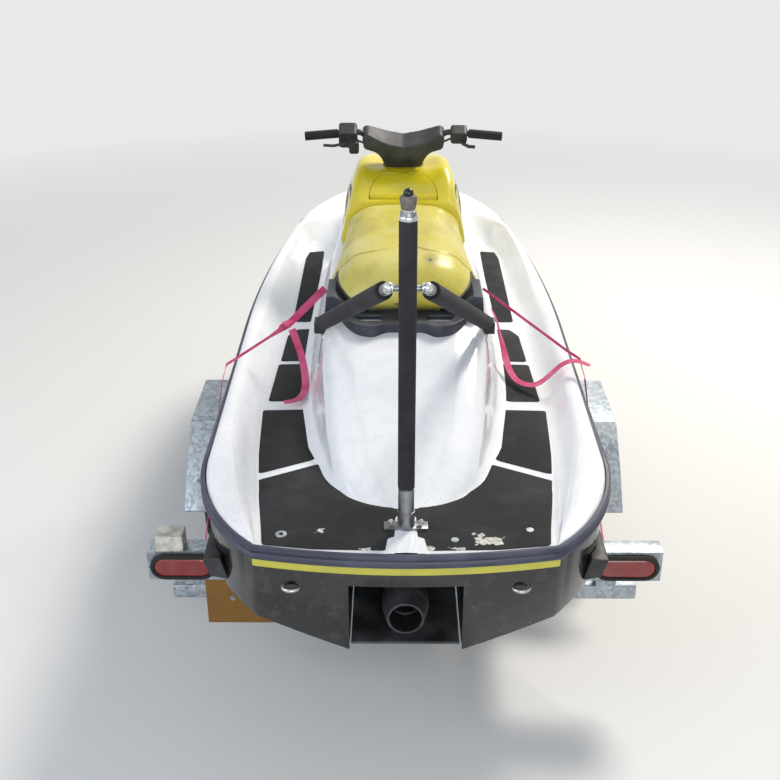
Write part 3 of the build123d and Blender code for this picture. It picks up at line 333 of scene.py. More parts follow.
def band(name, points, widths, width=(BAND_W,)):
    """A flat woven band along points; widths are directions across it, and width how broad it looks, spread evenly."""
    points = [Vector(p) for p in points]
    far = [0.0]
    for a, b in zip(points, points[1:]):
        far.append(far[-1] + (b - a).length)
    knots = np.linspace(0, far[-1], len(widths))
    broad = np.interp(far, np.linspace(0, far[-1], len(width)), width)
    rows, uvs = [], []
    for i, point in enumerate(points):
        along = (points[min(i + 1, len(points) - 1)] - points[max(i - 1, 0)]).normalized()
        across = Vector([float(np.interp(far[i], knots, [w[k] for w in widths])) for k in range(3)])
        across = (across - along * across.dot(along)).normalized()
        up = along.cross(across).normalized()
        side, lift = across * broad[i] / 2, up * BAND_T / 2
        edge = side * FLAT_SHARE
        rows.append([point - side, point - edge - lift, point + edge - lift, point + side, point + edge + lift,
                     point - edge + lift])
        uvs.append(far[i])
    mesh = bpy.data.meshes.new(name)
    verts, faces = skin(rows, closed=True, caps=True)
    mesh.from_pydata(verts, [], faces)
    layer = mesh.uv_layers.new(name="weave")
    across_at = (0.0, 0.03, 0.97, 1.0, 0.97, 0.03)
    for loop in mesh.loops:
        layer.data[loop.index].uv = (uvs[loop.vertex_index // 6], across_at[loop.vertex_index % 6] * BAND_W)
    mesh.materials.append(pink_webbing)
    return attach(linked(name, mesh), "craft")


# %% The two loose bands
TAIL_LEFT = [(-0.372, 1.016, 0.552), (-0.352, 1.010, 0.498), (-0.336, 0.990, 0.444), (-0.326, 0.945, 0.408),
             (-0.322, 0.885, 0.396), (-0.330, 0.830, 0.396), (-0.352, 0.796, 0.396), (-0.384, 0.790, 0.396)]
LOOSE_RIGHT = [(0.292, 1.080, 0.600), (0.312, 1.096, 0.558), (0.326, 1.096, 0.508), (0.340, 1.062, 0.452),
               (0.350, 1.010, 0.418), (0.366, 0.950, 0.404), (0.394, 0.905, 0.404), (0.434, 0.882, 0.414),
               (0.472, 0.884, 0.448), (0.510, 0.890, 0.488), (0.554, 0.880, 0.508), (0.594, 0.856, 0.496)]

line = nurbs_line("tail_line", TAIL_LEFT)
tail = band("strap_tail_left_webbing", line, [(0.9, 0.3, 0), (0.8, 0.5, 0), (0.95, -0.1, 0), (0.4, -0.8, 0)])
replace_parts(tail, "strap_tail_left")

line = nurbs_line("loose_line", LOOSE_RIGHT)
loose = band("strap_loose_right_webbing", line, [(0, 1, 0), (0.3, 1, 0), (1, 0.35, 0), (0.9, 0.9, 0), (-0.1, 1, 0.2),
                                                  (-0.1, 1, 0.1), (0, 1, 0)])
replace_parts(loose, "strap_loose_right")
print("loose bands:", tail.name, loose.name)

# %% The two taut bands, which lie flat over the gunwale and are seen nearly edge-on from behind
# Route points first; then the directions across the band, and how broad it looks, from its upper end to its lower.
STRAP_LEFT = [(-0.264, 1.108, 0.662), (-0.385, 1.020, 0.566), (-0.540, 0.940, 0.488), (-0.580, 0.920, 0.468),
              (-0.594, 0.880, 0.420), (-0.622, 0.452, -0.020)]
STRAP_RIGHT = [(0.264, 1.108, 0.662), (0.540, 0.985, 0.490), (0.580, 0.965, 0.470), (0.594, 0.925, 0.422),
               (0.622, 0.452, -0.020)]


def subdivided(points, step=0.012):
    """The same line with its runs cut to short pieces."""
    line = []
    for a, b in zip(points, points[1:]):
        a, b = Vector(a), Vector(b)
        count = max(1, round((b - a).length / step))
        line += [a.lerp(b, k / count) for k in range(count)]
    return [Vector(world(p)) for p in line + [Vector(points[-1])]]


TAUT = [
    ("strap_left_webbing", STRAP_LEFT, [(0.2, 0.5, 0.8), (0.4, 0.4, 0.9), (0, 1, 0.4), (0, 1, 0.6), (0, 1, 0.9)],
     [0.025, 0.025, 0.024] + [0.009] * 5 + [0.022] + [0.025] * 5),
    ("strap_right_webbing", STRAP_RIGHT, [(0, 0.3, 1), (-0.3, 0.4, 0.9), (0, 1, 0.4), (0, 1, 0.6), (0, 1, 0.9)],
     [0.009] * 6 + [0.022] + [0.025] * 6),
]
for name, route, across, broad in TAUT:
    taut = band(name, subdivided(route), across, broad)
    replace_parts(taut, "tie_straps")
print("taut bands:", [row[0] for row in TAUT])

# %% [markdown]
# ## Gelcoat
# The craft's shell is polyester gelcoat, sprayed into a polished mould before the glass. It leaves the mould glossy,
# and then chalks: broad pale clouds, fine dirt that sticks where feet have dulled it, and hardly any relief.

# %% White gelcoat


def gelcoat(name, clean, chalked, dirt, dirt_share):
    mat, tree, shader, place = start_finish(name, 0.2, Coat_Weight=0.5, Coat_Roughness=0.08)
    cloud = spread(tree, noise(tree, place, 300, 4), 0.38, 0.66)
    grime = spread(tree, noise(tree, place, 34, 8), 0.52, 0.78)
    specks = spread(tree, noise(tree, place, 5, 3), 0.66, 0.72)
    colour = mixed(tree, cloud, clean, chalked)
    colour = tinted(tree, colour, grime, dirt_share, dirt)
    colour = tinted(tree, colour, specks, dirt_share, "#8C8A80")
    painted(tree, shader, colour, spread(tree, grime, 0, 1, 0.17, 0.42))
    relief(tree, shader, noise(tree, place, 12, 2), 0.08)
    return mat


white_gelcoat = gelcoat("white gelcoat, hand laid glass fibre", "#F4F6F9", "#E6EAF0", "#C3C6C8", 0.35)
hull_gelcoat = gelcoat("white gelcoat, hull", "#F0F2F4", "#E2E5E8", "#A9A79C", 0.55)

# %% [markdown]
# ## The plan outline
# Everything on the upper shell follows one plan outline, made of five arcs and a straight run, and one sheer line in
# side view. Both are worked out once. The sections of the shell then start and end on them.

# %% Outline and sheer
RAIL_T = 0.014
FLOOR_AFT = 0.362
FLOOR_SLOPE = math.tan(math.radians(1.2))
# y and z of the sheer line, aft and forward, and by y how far the bulwark's top stands above it
SHEER_AFT = [(-0.080, 0.335), (0.150, 0.372), (0.400, 0.405)]
SHEER_FORE = [(0.400, 0.405), (1.600, 0.424), (2.960, 0.520)]
BULWARK = [(-0.08, 0.018), (0.15, 0.024), (0.40, 0.038), (1.60, 0.054), (2.96, 0.040)]


def parabola(y, points):
    (a, p), (b, q), (c, r) = points
    return (p * (y - b) * (y - c) / ((a - b) * (a - c)) + q * (y - a) * (y - c) / ((b - a) * (b - c))
            + r * (y - a) * (y - b) / ((c - a) * (c - b)))


def sheer(y):
    return parabola(y, SHEER_AFT if y < SHEER_AFT[2][0] else SHEER_FORE)


def bulwark_top(y):
    return sheer(y) + float(fair([p[0] for p in BULWARK], [p[1] for p in BULWARK], y))


def floor_z(y):
    return FLOOR_AFT + FLOOR_SLOPE * y


def arc(start, middle, end, count):
    """Plan points on the circle through three points, without the last."""
    (ax, ay), (bx, by), (cx, cy) = start, middle, end
    d = 2 * (ax * (by - cy) + bx * (cy - ay) + cx * (ay - by))
    ux = ((ax * ax + ay * ay) * (by - cy) + (bx * bx + by * by) * (cy - ay) + (cx * cx + cy * cy) * (ay - by)) / d
    uy = ((ax * ax + ay * ay) * (cx - bx) + (bx * bx + by * by) * (ax - cx) + (cx * cx + cy * cy) * (bx - ax)) / d
    r = math.hypot(ax - ux, ay - uy)
    first, last = math.atan2(ay - uy, ax - ux), math.atan2(cy - uy, cx - ux)
    turn = (last - first + math.pi) % (2 * math.pi) - math.pi
    turns = [first + turn * k / count for k in range(count)]
    return [(ux + r * math.cos(a), uy + r * math.sin(a)) for a in turns]


# Corners of the outline from the stern to the bow; each arc also has a point between its two.
QUARTER, BEAM_AFT, BEAM_FORE = (0.400, 0.020), (0.575, 0.400), (0.575, 1.300)
SHOULDER, BOW_CORNER, NOSE = (0.455, 2.410), (0.190, 2.815), (0, 2.885)
STERN_ARC = arc((0, -0.015), (0.2, -0.0062), QUARTER, 14)
SIDE = (arc(QUARTER, (0.512, 0.140), BEAM_AFT, 18)
        + [(BEAM_AFT[0], BEAM_AFT[1] + 0.9 * k / 34) for k in range(34)]
        + arc(BEAM_FORE, (0.540, 1.900), SHOULDER, 44)
        + arc(SHOULDER, (0.345, 2.650), BOW_CORNER, 22) + [BOW_CORNER])
BOW_ARC = arc(BOW_CORNER, (0.1, 2.8672), NOSE, 10)


def inset(points, distance):
    """Plan points moved inwards along their normals; the outline runs from the stern to the bow."""
    moved = []
    for i, (x, y) in enumerate(points):
        (ax, ay), (bx, by) = points[max(i - 1, 0)], points[min(i + 1, len(points) - 1)]
        length = math.hypot(bx - ax, by - ay)
        moved.append((x - (by - ay) / length * distance, y + (bx - ax) / length * distance))
    return moved


half_outline = STERN_ARC + SIDE + BOW_ARC + [NOSE]
shell_edge = inset(half_outline, RAIL_T)[len(STERN_ARC):len(STERN_ARC) + len(SIDE)]
print("outline points a side:", len(half_outline), "shell stations:", len(shell_edge))

# %% [markdown]
# ## The upper shell
# Deck, footwells, bulwark and seat pedestal are one moulding on the real craft. A cross-section is a line with seven
# rounded corners, and a table says where the corners are along the length. Skinning the sections gives the long
# soft highlights of a moulding, which joining separate boxes would not.

# %% Tables of the upper shell
# Openings under the seat and the hood: half width, y from, y to, height of the floor
BAY = (0.190, 0.985, 1.610, 0.100)
BIN = (0.140, 2.110, 2.480, 0.330)
# y, foot x, shoulder x, shoulder z, crown x, crown z
SPINE = [
    (0.205, 0.060, 0.050, 0.3664, 0.030, 0.3666),
    (0.236, 0.118, 0.096, 0.3740, 0.066, 0.3780),
    (0.300, 0.186, 0.160, 0.3950, 0.116, 0.4050),
    (0.450, 0.238, 0.212, 0.4500, 0.150, 0.4660),
    (0.650, 0.272, 0.238, 0.5320, 0.160, 0.5520),
    (0.830, 0.296, 0.250, 0.5980, 0.172, 0.6140),
    (0.930, 0.304, 0.254, 0.6260, 0.196, 0.6370),
    (1.000, 0.307, 0.256, 0.6290, 0.208, 0.6400),
    (1.655, 0.309, 0.256, 0.6290, 0.208, 0.6400),
    (2.050, 0.297, 0.240, 0.6000, 0.202, 0.6096),
    (2.350, 0.261, 0.206, 0.5770, 0.172, 0.5866),
    (2.600, 0.172, 0.132, 0.5560, 0.106, 0.5670),
    (2.745, 0.086, 0.066, 0.5480, 0.050, 0.5560),
    (2.815, 0.040, 0.030, 0.5500, 0.020, 0.5520),
]
# y, floor's outer x, inner edge of the bulwark's crown
WELL = [
    (0.020, 0.388, 0.389),
    (0.080, 0.396, 0.402),
    (0.150, 0.403, 0.428),
    (0.260, 0.418, 0.462),
    (0.400, 0.436, 0.492),
    (0.800, 0.466, 0.518),
    (1.150, 0.461, 0.516),
    (1.500, 0.449, 0.506),
    (1.900, 0.436, 0.488),
    (2.180, 0.421, 0.462),
    (2.300, 0.392, 0.436),
    (2.380, 0.340, 0.388),
    (2.450, 0.285, 0.335),
    (2.650, 0.190, 0.235),
    (2.790, 0.100, 0.130),
    (2.815, 0.070, 0.090),
]


FOREDECK_FROM, FOREDECK_RUN = 2.27, 0.16


def deck_level(y):
    """Floor of the wells, rising to the foredeck in front of them."""
    t = clamped((y - FOREDECK_FROM) / FOREDECK_RUN)
    share = t * t * (3 - 2 * t)
    return floor_z(y) * (1 - share) + (bulwark_top(y) - 0.006) * share


def station_y(x, edge_x, edge_y):
    """Stations bow outwards with the stern and the nose."""
    aft = clamped((edge_y - 0.034) / 0.36)
    fore = clamped((edge_y - 2.45) / 0.355)
    middle = -0.033 * (1 - aft) ** 2 + 0.068 * fore ** 2
    return edge_y + middle * (1 - (x / edge_x) ** 2)


def deck_half(edge_x, edge_y):
    """The starboard half of a section, from the middle to the shell's edge."""
    y = station_y(0, edge_x, edge_y)
    foot, shoulder_x, shoulder_z, crown_x, crown_z = [column(SPINE, k, y) for k in range(1, 6)]
    level, top = deck_level(edge_y), bulwark_top(edge_y)
    shoulder_z, crown_z = max(shoulder_z, level + 0.0002), max(crown_z, level + 0.0004)
    out_x, in_x = [min(column(WELL, k, edge_y), edge_x - 0.006) for k in (1, 2)]
    hatch = min(BAY[0] if y < 1.8 else BIN[0], 0.93 * crown_x)
    rise = 0.003 if y < 0.9 else 0.0
    corners = [(0, crown_z + rise), (hatch, crown_z + rise * 0.6), (crown_x, crown_z), (shoulder_x, shoulder_z),
               (foot, level), (out_x, level), (in_x, max(top, level + 0.0005)), (edge_x - 0.004, top - 0.003),
               (edge_x, sheer(edge_y))]
    line = rounded(corners, [0.0, 0.05, 0.05, 0.055, 0.036, 0.030, 0.020], arc=7, run=3)
    return [(x, station_y(x, edge_x, edge_y), z) for x, z in line]


def snapped(edge, wanted):
    """Moves the nearest station onto each wanted y, so that an opening's edge lies on one."""
    edge = list(edge)
    for y in wanted:
        i = min(range(len(edge)), key=lambda k: abs(edge[k][1] - y))
        edge[i] = (float(np.interp(y, [p[1] for p in edge], [p[0] for p in edge])), y)
    return edge


edge = snapped(shell_edge, [BAY[1], BAY[2], BIN[1], BIN[2]])
rows = []
for x, y in edge:
    right = deck_half(x, y)
    rows.append([(-px, py, pz) for px, py, pz in reversed(right[1:])] + right)
# In front of the last station the skin turns down behind the rub rail.
for back, drop in ((0.004, 0.004), (0.001, 0.014), (0.0, 0.024)):
    last = rows[len(edge) - 1]
    rows.append([(x, y + 0.008 - back, min(z, bulwark_top(2.8)) - drop) for x, y, z in last])
verts, faces = skin(rows)


def in_opening(face, opening):
    x, y = np.mean([verts[i][0] for i in face]), np.mean([verts[i][1] for i in face])
    return abs(x) < opening[0] and opening[1] < y < opening[2]


faces = [f for f in faces if not (in_opening(f, BAY) or in_opening(f, BIN))]
deck = joined("upper_shell", verts, faces)
deck.data.materials.append(white_gelcoat)
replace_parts(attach(deck, "craft"), "deck", "centre_moulding")
print("upper shell:", len(deck.data.polygons), "faces")

# %% [markdown]
# The engine bay and the bow bin are open boxes under the seat and the hood. Both show when those lift, so each gets
# its walls and floor, with the raised lip that the seal sits on.

# %% Liners of the two openings
DRAFT = 0.012


def liner(name, opening, top, slope=0.0):
    """Walls and floor under an opening; the rim rises forward by the slope."""
    x, y0, y1, low = opening
    rings = []
    for grow, z in ((0.004, top), (-0.001, top + 0.001), (-DRAFT, low + 0.02), (-DRAFT - 0.02, low)):
        ring = [(-x - grow, y0 - grow), (x + grow, y0 - grow), (x + grow, y1 + grow), (-x - grow, y1 + grow)]
        rings.append([(px, py, z if z < top else z + (py - (y0 + y1) / 2) * slope) for px, py in ring])
    verts, faces = skin(rings, closed=True)
    faces.append(tuple(range(len(verts) - 4, len(verts))))
    obj = joined(name, verts, faces, smooth=False)
    obj.data.materials.append(hull_gelcoat)
    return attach(obj, "craft")


liners = [liner("engine_bay", BAY, 0.6396), liner("bow_bin", BIN, 0.5910, -0.088 / 1.145)]
print("liners:", [obj.name for obj in liners])

# %% [markdown]
# ## Geometry Nodes helpers
# A part that follows a line, or repeats, is a rule more than a shape. Each rule is a node tree with named sizes. One
# function builds the tree's ends, and another runs it, keeps the plain mesh, and drops the modifier.

# %% Trees, and how their results are kept


def new_tree(name, sizes):
    """An empty tree with a geometry in and out and one named input for each size."""
    tree = bpy.data.node_groups.new(name, "GeometryNodeTree")
    tree.interface.new_socket("Geometry", in_out="INPUT", socket_type="NodeSocketGeometry")
    for label, value in sizes.items():
        kind = "NodeSocketInt" if isinstance(value, int) else "NodeSocketFloat"
        tree.interface.new_socket(label, in_out="INPUT", socket_type=kind).default_value = value
    tree.interface.new_socket("Geometry", in_out="OUTPUT", socket_type="NodeSocketGeometry")
    return tree, add(tree, "NodeGroupInput"), add(tree, "NodeGroupOutput")


def close_tree(tree, geometry, out, material):
    """Ends a tree: instances become real, and everything takes the material."""
    real = add(tree, "GeometryNodeRealizeInstances", {0: geometry}).outputs[0]
    done = add(tree, "GeometryNodeSetMaterial", {"Geometry": real, "Material": material}).outputs[0]
    tree.links.new(done, out.inputs[0])


def grown(name, start, tree, sizes, body, smooth_angle=35):
    """Runs a tree on the start object with these sizes, and keeps the result as a plain mesh on a body."""
    modifier = start.modifiers.new("rule", "NODES")
    modifier.node_group = tree
    for item in tree.interface.items_tree:
        if item.in_out == "INPUT" and item.name in sizes:
            modifier[item.identifier] = sizes[item.name]
    mesh = plain_mesh(start)
    bpy.data.objects.remove(start)
    mesh.name = name
    mesh.shade_smooth()
    mesh.set_sharp_from_angle(angle=math.radians(smooth_angle))
    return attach(linked(name, mesh), body)


def line_object(name, points, closed=False):
    """A poly curve through points that are already in the model's place."""
    data = bpy.data.curves.new(name, "CURVE")
    data.dimensions = "3D"
    spline = data.splines.new("POLY")
    spline.points.add(len(points) - 1)
    for point, place in zip(spline.points, points):
        point.co = (*place, 1.0)
    spline.use_cyclic_u = closed
    return linked(name, data)


# %% [markdown]
# ## Rub rail
# The rail is one vinyl extrusion with two ridges, pressed over the seam between hull and deck. An extrusion is a
# section that follows a path, which is just what Curve to Mesh does.

# %% Slate vinyl


def moulded(name, base, worn, rough, grain_mm, grain_depth, wear=0.5, cloud_mm=90, **shader_values):
    """Moulded or extruded plastic and rubber: a cloud of wear over the base colour, and a fine grain."""
    mat, tree, shader, place = start_finish(name, rough, **shader_values)
    cloud = spread(tree, noise(tree, place, cloud_mm, 6), 0.42, 0.72)
    colour = tinted(tree, base, cloud, wear, worn)
    painted(tree, shader, colour, spread(tree, cloud, 0, 1, rough, min(rough + 0.18, 1.0)))
    relief(tree, shader, noise(tree, place, grain_mm, 3), grain_depth)
    return mat


slate_vinyl = moulded("extruded slate vinyl", "#34374A", "#5B5F70", 0.42, 3.0, 0.12)
yellow_paint = moulded("yellow stripe tape", "#C2BE43", "#A9A551", 0.3, 6.0, 0.05, Coat_Weight=0.3)

# %% The rail's section swept along the outline
# Outwards from the shell and up from the sheer line
RAIL_SECTION = [(-0.0138, -0.0200), (-0.0060, -0.0200), (-0.0020, -0.0180), (-0.0004, -0.0135), (-0.0004, -0.0090),
                (-0.0034, -0.0050), (-0.0050, 0.0), (-0.0034, 0.0040), (0.0, 0.0075), (0.0, 0.0130),
                (-0.0024, 0.0180), (-0.0070, 0.0200), (-0.0138, 0.0200)]
tree, tree_in, tree_out = new_tree("extrusion", {})
section = line_object("rail_section", [(x, y, 0.0) for x, y in RAIL_SECTION], closed=True)
profile = add(tree, "GeometryNodeObjectInfo", {"Object": section}).outputs["Geometry"]
upright = add(tree, "GeometryNodeSetCurveNormal", {"Curve": tree_in.outputs[0]}, mode="Z_UP").outputs[0]
swept = add(tree, "GeometryNodeCurveToMesh", {"Curve": upright, "Profile Curve": profile, "Fill Caps": True}).outputs[0]
close_tree(tree, swept, tree_out, slate_vinyl)
ring = [world((x, y, sheer(y))) for x, y in closed_half(half_outline)]
rail_path = line_object("rail_path", ring, closed=True)
rail = grown("rub_rail_extrusion", rail_path, tree, {}, "craft", 25)
bpy.data.objects.remove(section)
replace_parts(rail, "rub_rail")
print("rub rail: half width", round(max(p.co.x for p in rail.data.vertices), 4))

# %% [markdown]
# ## Geometry along a line
# Piping, stitches and ribs all follow a line. One tree sweeps a round section along it, and a second puts a small
# many-sided pin at even steps, pointing along the line.

# %% Two rules that follow a line


def cord_rule(name, material, radius):
    tree, start, out = new_tree(name, {"Radius": radius, "Sides": 10})
    size = start.outputs
    ring = add(tree, "GeometryNodeCurvePrimitiveCircle", {"Resolution": size["Sides"], "Radius": size["Radius"]})
    ends = {"Curve": size[0], "Profile Curve": ring.outputs[0], "Fill Caps": True}
    close_tree(tree, add(tree, "GeometryNodeCurveToMesh", ends).outputs[0], out, material)
    return tree


def pin_rule(name, material, radius, depth, pitch, sides=6):
    tree, start, out = new_tree(name, {"Radius": radius, "Depth": depth, "Pitch": pitch, "Sides": sides})
    size = start.outputs
    dots = add(tree, "GeometryNodeCurveToPoints", {"Curve": size[0], "Length": size["Pitch"]}, mode="LENGTH").outputs
    shape = {"Vertices": size["Sides"], "Radius": size["Radius"], "Depth": size["Depth"]}
    pin = add(tree, "GeometryNodeMeshCylinder", shape).outputs[0]
    places = {"Points": dots[0], "Instance": pin, "Rotation": dots["Rotation"]}
    close_tree(tree, add(tree, "GeometryNodeInstanceOnPoints", places).outputs[0], out, material)
    return tree


# %% [markdown]
# ## Seat cover
# The saddle is a foam block under one stretched vinyl cover with a sewn seam across it. The foam is skinned from
# sections, blown up a few millimetres by the cloth solver so that it crowns as a stuffed cover does, and only then
# gets its seam, because a seam is narrower than the grid that the solver needs.

# %% Faded vinyl


# Where, how far it reaches, how strong it is, and its colour. The second is a small tear inside the first.
SEAT_MARKS = [
    ((0.088, 1.012, 0.70), 0.038, 0.5, "#8A7748"),
    ((0.084, 1.006, 0.70), 0.015, 0.9, "#2A2418"),
]


def stained_vinyl(name, fresh, faded, stain):
    """Expanded vinyl, embossed leather grain: dull where the sun bleached it, brown where hands and knees rest."""
    mat, tree, shader, place = start_finish(name, 0.42, Coat_Weight=0.12, Coat_Roughness=0.35)
    cloud = spread(tree, noise(tree, place, 260, 4), 0.40, 0.64)
    smear = spread(tree, noise(tree, place, 120, 7, (1.0, 0.45, 1.0)), 0.50, 0.74)
    fleck = spread(tree, noise(tree, place, 16, 5), 0.56, 0.74)
    colour = mixed(tree, cloud, fresh, faded)
    colour = tinted(tree, colour, smear, 0.62, stain)
    colour = tinted(tree, colour, fleck, 0.30, "#8C8352")
    ragged = math_node(tree, "MULTIPLY", noise(tree, place, 9, 3), 0.012)
    for at, reach, share, mark in SEAT_MARKS:
        flat = add(tree, "ShaderNodeVectorMath", {0: place, 1: world(at)}, operation="SUBTRACT").outputs[0]
        flat = add(tree, "ShaderNodeVectorMath", {0: flat, 1: (1.0, 0.8, 0.0)}, operation="MULTIPLY").outputs[0]
        far = add(tree, "ShaderNodeVectorMath", {0: flat}, operation="LENGTH").outputs["Value"]
        near = spread(tree, math_node(tree, "ADD", far, ragged), reach * 0.6, reach, share, 0)
        colour = mixed(tree, near, colour, mark)
    painted(tree, shader, colour, spread(tree, smear, 0, 1, 0.36, 0.62))
    grain = add(tree, "ShaderNodeTexVoronoi", {"Vector": place, "Scale": 420.0, "Randomness": 0.9}).outputs["Distance"]
    relief(tree, shader, grain, 0.35, 0.6)
    return mat


seat_cover = stained_vinyl("faded embossed vinyl", "#CFC244", "#D3CA74", "#9A8F52")
black_welt = moulded("black vinyl welt", "#17181A", "#3A3B3C", 0.5, 2.0, 0.1)
nylon_thread = moulded("nylon thread", "#B9B27A", "#8F8A5E", 0.6, 1.0, 0.05)

# %% The foam's sections
# y, base x, base z, side x, side z, crown x, crown z
SEAT = [
    (0.905, 0.100, 0.682, 0.110, 0.700, 0.070, 0.722),
    (0.925, 0.158, 0.664, 0.172, 0.698, 0.104, 0.746),
    (0.965, 0.208, 0.650, 0.224, 0.697, 0.134, 0.776),
    (1.030, 0.232, 0.642, 0.248, 0.694, 0.150, 0.796),
    (1.120, 0.236, 0.6413, 0.250, 0.692, 0.152, 0.804),
    (1.300, 0.224, 0.6413, 0.236, 0.700, 0.146, 0.792),
    (1.500, 0.214, 0.6413, 0.224, 0.714, 0.142, 0.785),
    (1.653, 0.208, 0.6413, 0.214, 0.732, 0.138, 0.788),
]
FOAM_CUTS = [0.012, 0.055, 0.075]
FOAM_BASE = 0.6413
SEAT_FRONT = 1.655


def foam_ring(y, scale):
    base_x, base_z, side_x, side_z, crown_x, crown_z = [column(SEAT, k, y) for k in range(1, 7)]
    corners = [(0, base_z), (base_x, base_z), (side_x, side_z), (crown_x, crown_z), (0, crown_z + 0.006)]
    middle = (base_z + crown_z) / 2
    half = rounded(corners, FOAM_CUTS, arc=7, run=5)
    return [(x * scale, y, middle + (z - middle) * scale) for x, z in closed_half(half)]


# y and scale of each section, drawn in at both ends so that they come out round
stations = [(0.905, 0.45), (0.907, 0.75), (0.913, 0.93), (0.922, 1.0)]
stations += [(0.922 + (1.645 - 0.922) * k / 44, 1.0) for k in range(1, 45)]
stations += [(1.651, 0.985), (1.653, 0.955)]
foam = solid("foam_core", [foam_ring(y, s) for y, s in stations], smooth=True)


def settled(obj):
    """The object with its modifiers worked into its mesh."""
    mesh, old = plain_mesh(obj), obj.data
    obj.modifiers.clear()
    obj.data = mesh
    bpy.data.meshes.remove(old)
    mesh.name = obj.name
    return obj


def combined(obj, cutters, operation="DIFFERENCE"):
    """The solid with others taken away, added, or only what they share; the others are used up."""
    for cutter in cutters:
        cut = obj.modifiers.new("cut", "BOOLEAN")
        cut.operation = operation
        cut.object = cutter
        cut.solver = "EXACT"
    settled(obj)
    for cutter in cutters:
        bpy.data.objects.remove(cutter)
    return obj


# The rear corners are cut away over two plastic cheeks: x and z of the cut, and where it ends
CHEEK_LOW, CHEEK_HIGH, CHEEK_END = (0.108, 0.6415), (0.262, 0.7500), 1.098


def cheek_z(x, y):
    """Height of the cover's lower edge beside the cheek."""
    if y > CHEEK_END or abs(x) < CHEEK_LOW[0]:
        return FOAM_BASE
    return CHEEK_LOW[1] + (abs(x) - CHEEK_LOW[0]) * (CHEEK_HIGH[1] - CHEEK_LOW[1]) / (CHEEK_HIGH[0] - CHEEK_LOW[0])


wide = CHEEK_HIGH[0] + 0.05
wedge = [CHEEK_LOW, (wide, cheek_z(wide, 1)), (wide, 0.5), (CHEEK_LOW[0], 0.5)]
corners = [solid("corner_cut", [[(side * x, y, z) for x, z in wedge] for y in (0.85, CHEEK_END)]) for side in (-1, 1)]
print("seat foam:", len(foam.data.polygons), "faces")

# %% The cover swells with the cloth solver


def remeshed(obj, voxel, subdivide=0):
    """The same solid with an even grid of faces."""
    grid = obj.modifiers.new("grid", "REMESH")
    grid.mode = "VOXEL"
    grid.voxel_size = voxel
    grid.use_smooth_shade = True
    if subdivide:
        finer = obj.modifiers.new("finer", "SUBSURF")
        finer.levels = finer.render_levels = subdivide
    settled(obj).data.materials.clear()
    return obj


def swollen(obj, limit, pressure=4.0):
    """Blows a closed cover up with the cloth solver; limit(point) is how far a point may move, in metres."""
    cloth = obj.modifiers.new("cover", "CLOTH")
    cloth.settings.use_pressure = True
    cloth.settings.uniform_pressure_force = pressure
    cloth.settings.effector_weights.gravity = 0.0
    for frame_number in range(1, 21):
        scene.frame_set(frame_number)
    shape = plain_mesh(obj)
    obj.modifiers.remove(cloth)
    scene.frame_set(1)
    for old, new in zip(obj.data.vertices, shape.vertices):
        step = new.co - old.co
        most = limit(old.co)
        if step.length > most:
            step *= most / step.length
        old.co += step
    bpy.data.meshes.remove(shape)
    return obj


def seat_limit(point):
    """The cover can't swell where the foam sits on its base or its cheeks, nor against the console."""
    base = clamped((point.z - KEEL - cheek_z(point.x, point.y + MID_Y - 0.02) - 0.004) / 0.03)
    front = clamped((SEAT_FRONT - 0.004 - point.y - MID_Y) / 0.05)
    rear = clamped((point.y + MID_Y - 0.905) / 0.05, 0.1)
    return 0.007 * base * front * rear


SEAT_GRID = 0.007
foam = combined(foam, corners)
seat = remeshed(swollen(remeshed(foam, SEAT_GRID), seat_limit), SEAT_GRID, 1)
print("seat cover:", len(seat.data.polygons), "faces")

# %% The sewn seam and its stitches
FAN_Z = 0.70


def surface_of(obj):
    return BVHTree.FromPolygons([v.co for v in obj.data.vertices], [p.vertices for p in obj.data.polygons])


def around(tree, angles, y_of, lift=0.0):
    """Points where a fan of rays from outside meets the skin, one for each angle from upright."""
    points = []
    for angle in angles:
        aim = Vector((math.sin(angle), 0, math.cos(angle)))
        start = Vector(world((0, y_of(angle), FAN_Z))) + aim * 0.6
        hit, normal, _, _ = tree.ray_cast(start, -aim)
        if hit:
            points.append(hit + normal * lift)
    return points


def pressed(obj, line, depth, width):
    """Presses a line into the skin."""
    near = KDTree(len(line))
    for i, point in enumerate(line):
        near.insert(point, i)
    near.balance()
    shift = []
    for v in obj.data.vertices:
        _, _, d = near.find(v.co)
        shift.append(v.normal * (-depth * math.exp(-(d / width) ** 2)) if d < 3 * width else None)
    for v, s in zip(obj.data.vertices, shift):
        if s:
            v.co += s
    obj.data.update()


def fan(first, last, count):
    """Even steps between two angles in degrees, as radians."""
    return [math.radians(first + (last - first) * k / count) for k in range(count + 1)]


def seam_at(angle):
    """Where along the seat the seam lies; it bends back over the shoulders."""
    return 1.112 - 0.050 * math.sin(2 * min(abs(angle), math.pi / 2)) ** 2


PITCH = 0.0062
skin_tree = surface_of(seat)
seam = around(skin_tree, fan(-97, 97, 300), seam_at)
crease = around(skin_tree, fan(-62, 62, 200), lambda a: 1.268 - 0.03 * abs(a))
pressed(seat, seam, 0.0042, 0.0052)
pressed(seat, crease, 0.0016, 0.012)
seat.data.materials.append(seat_cover)
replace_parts(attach(seat, "seat"), "seat")
cover_tree = surface_of(seat)
stitch = pin_rule("stitches", nylon_thread, 0.0007, 0.0040, PITCH)
for k, offset in enumerate((-0.0065, 0.0065)):
    row = around(cover_tree, fan(-95, 95, 300), lambda a: seam_at(a) + offset, 0.0002)
    grown(f"seat_stitches_{k}", line_object("stitch_line", row), stitch, {"Pitch": PITCH}, "seat")

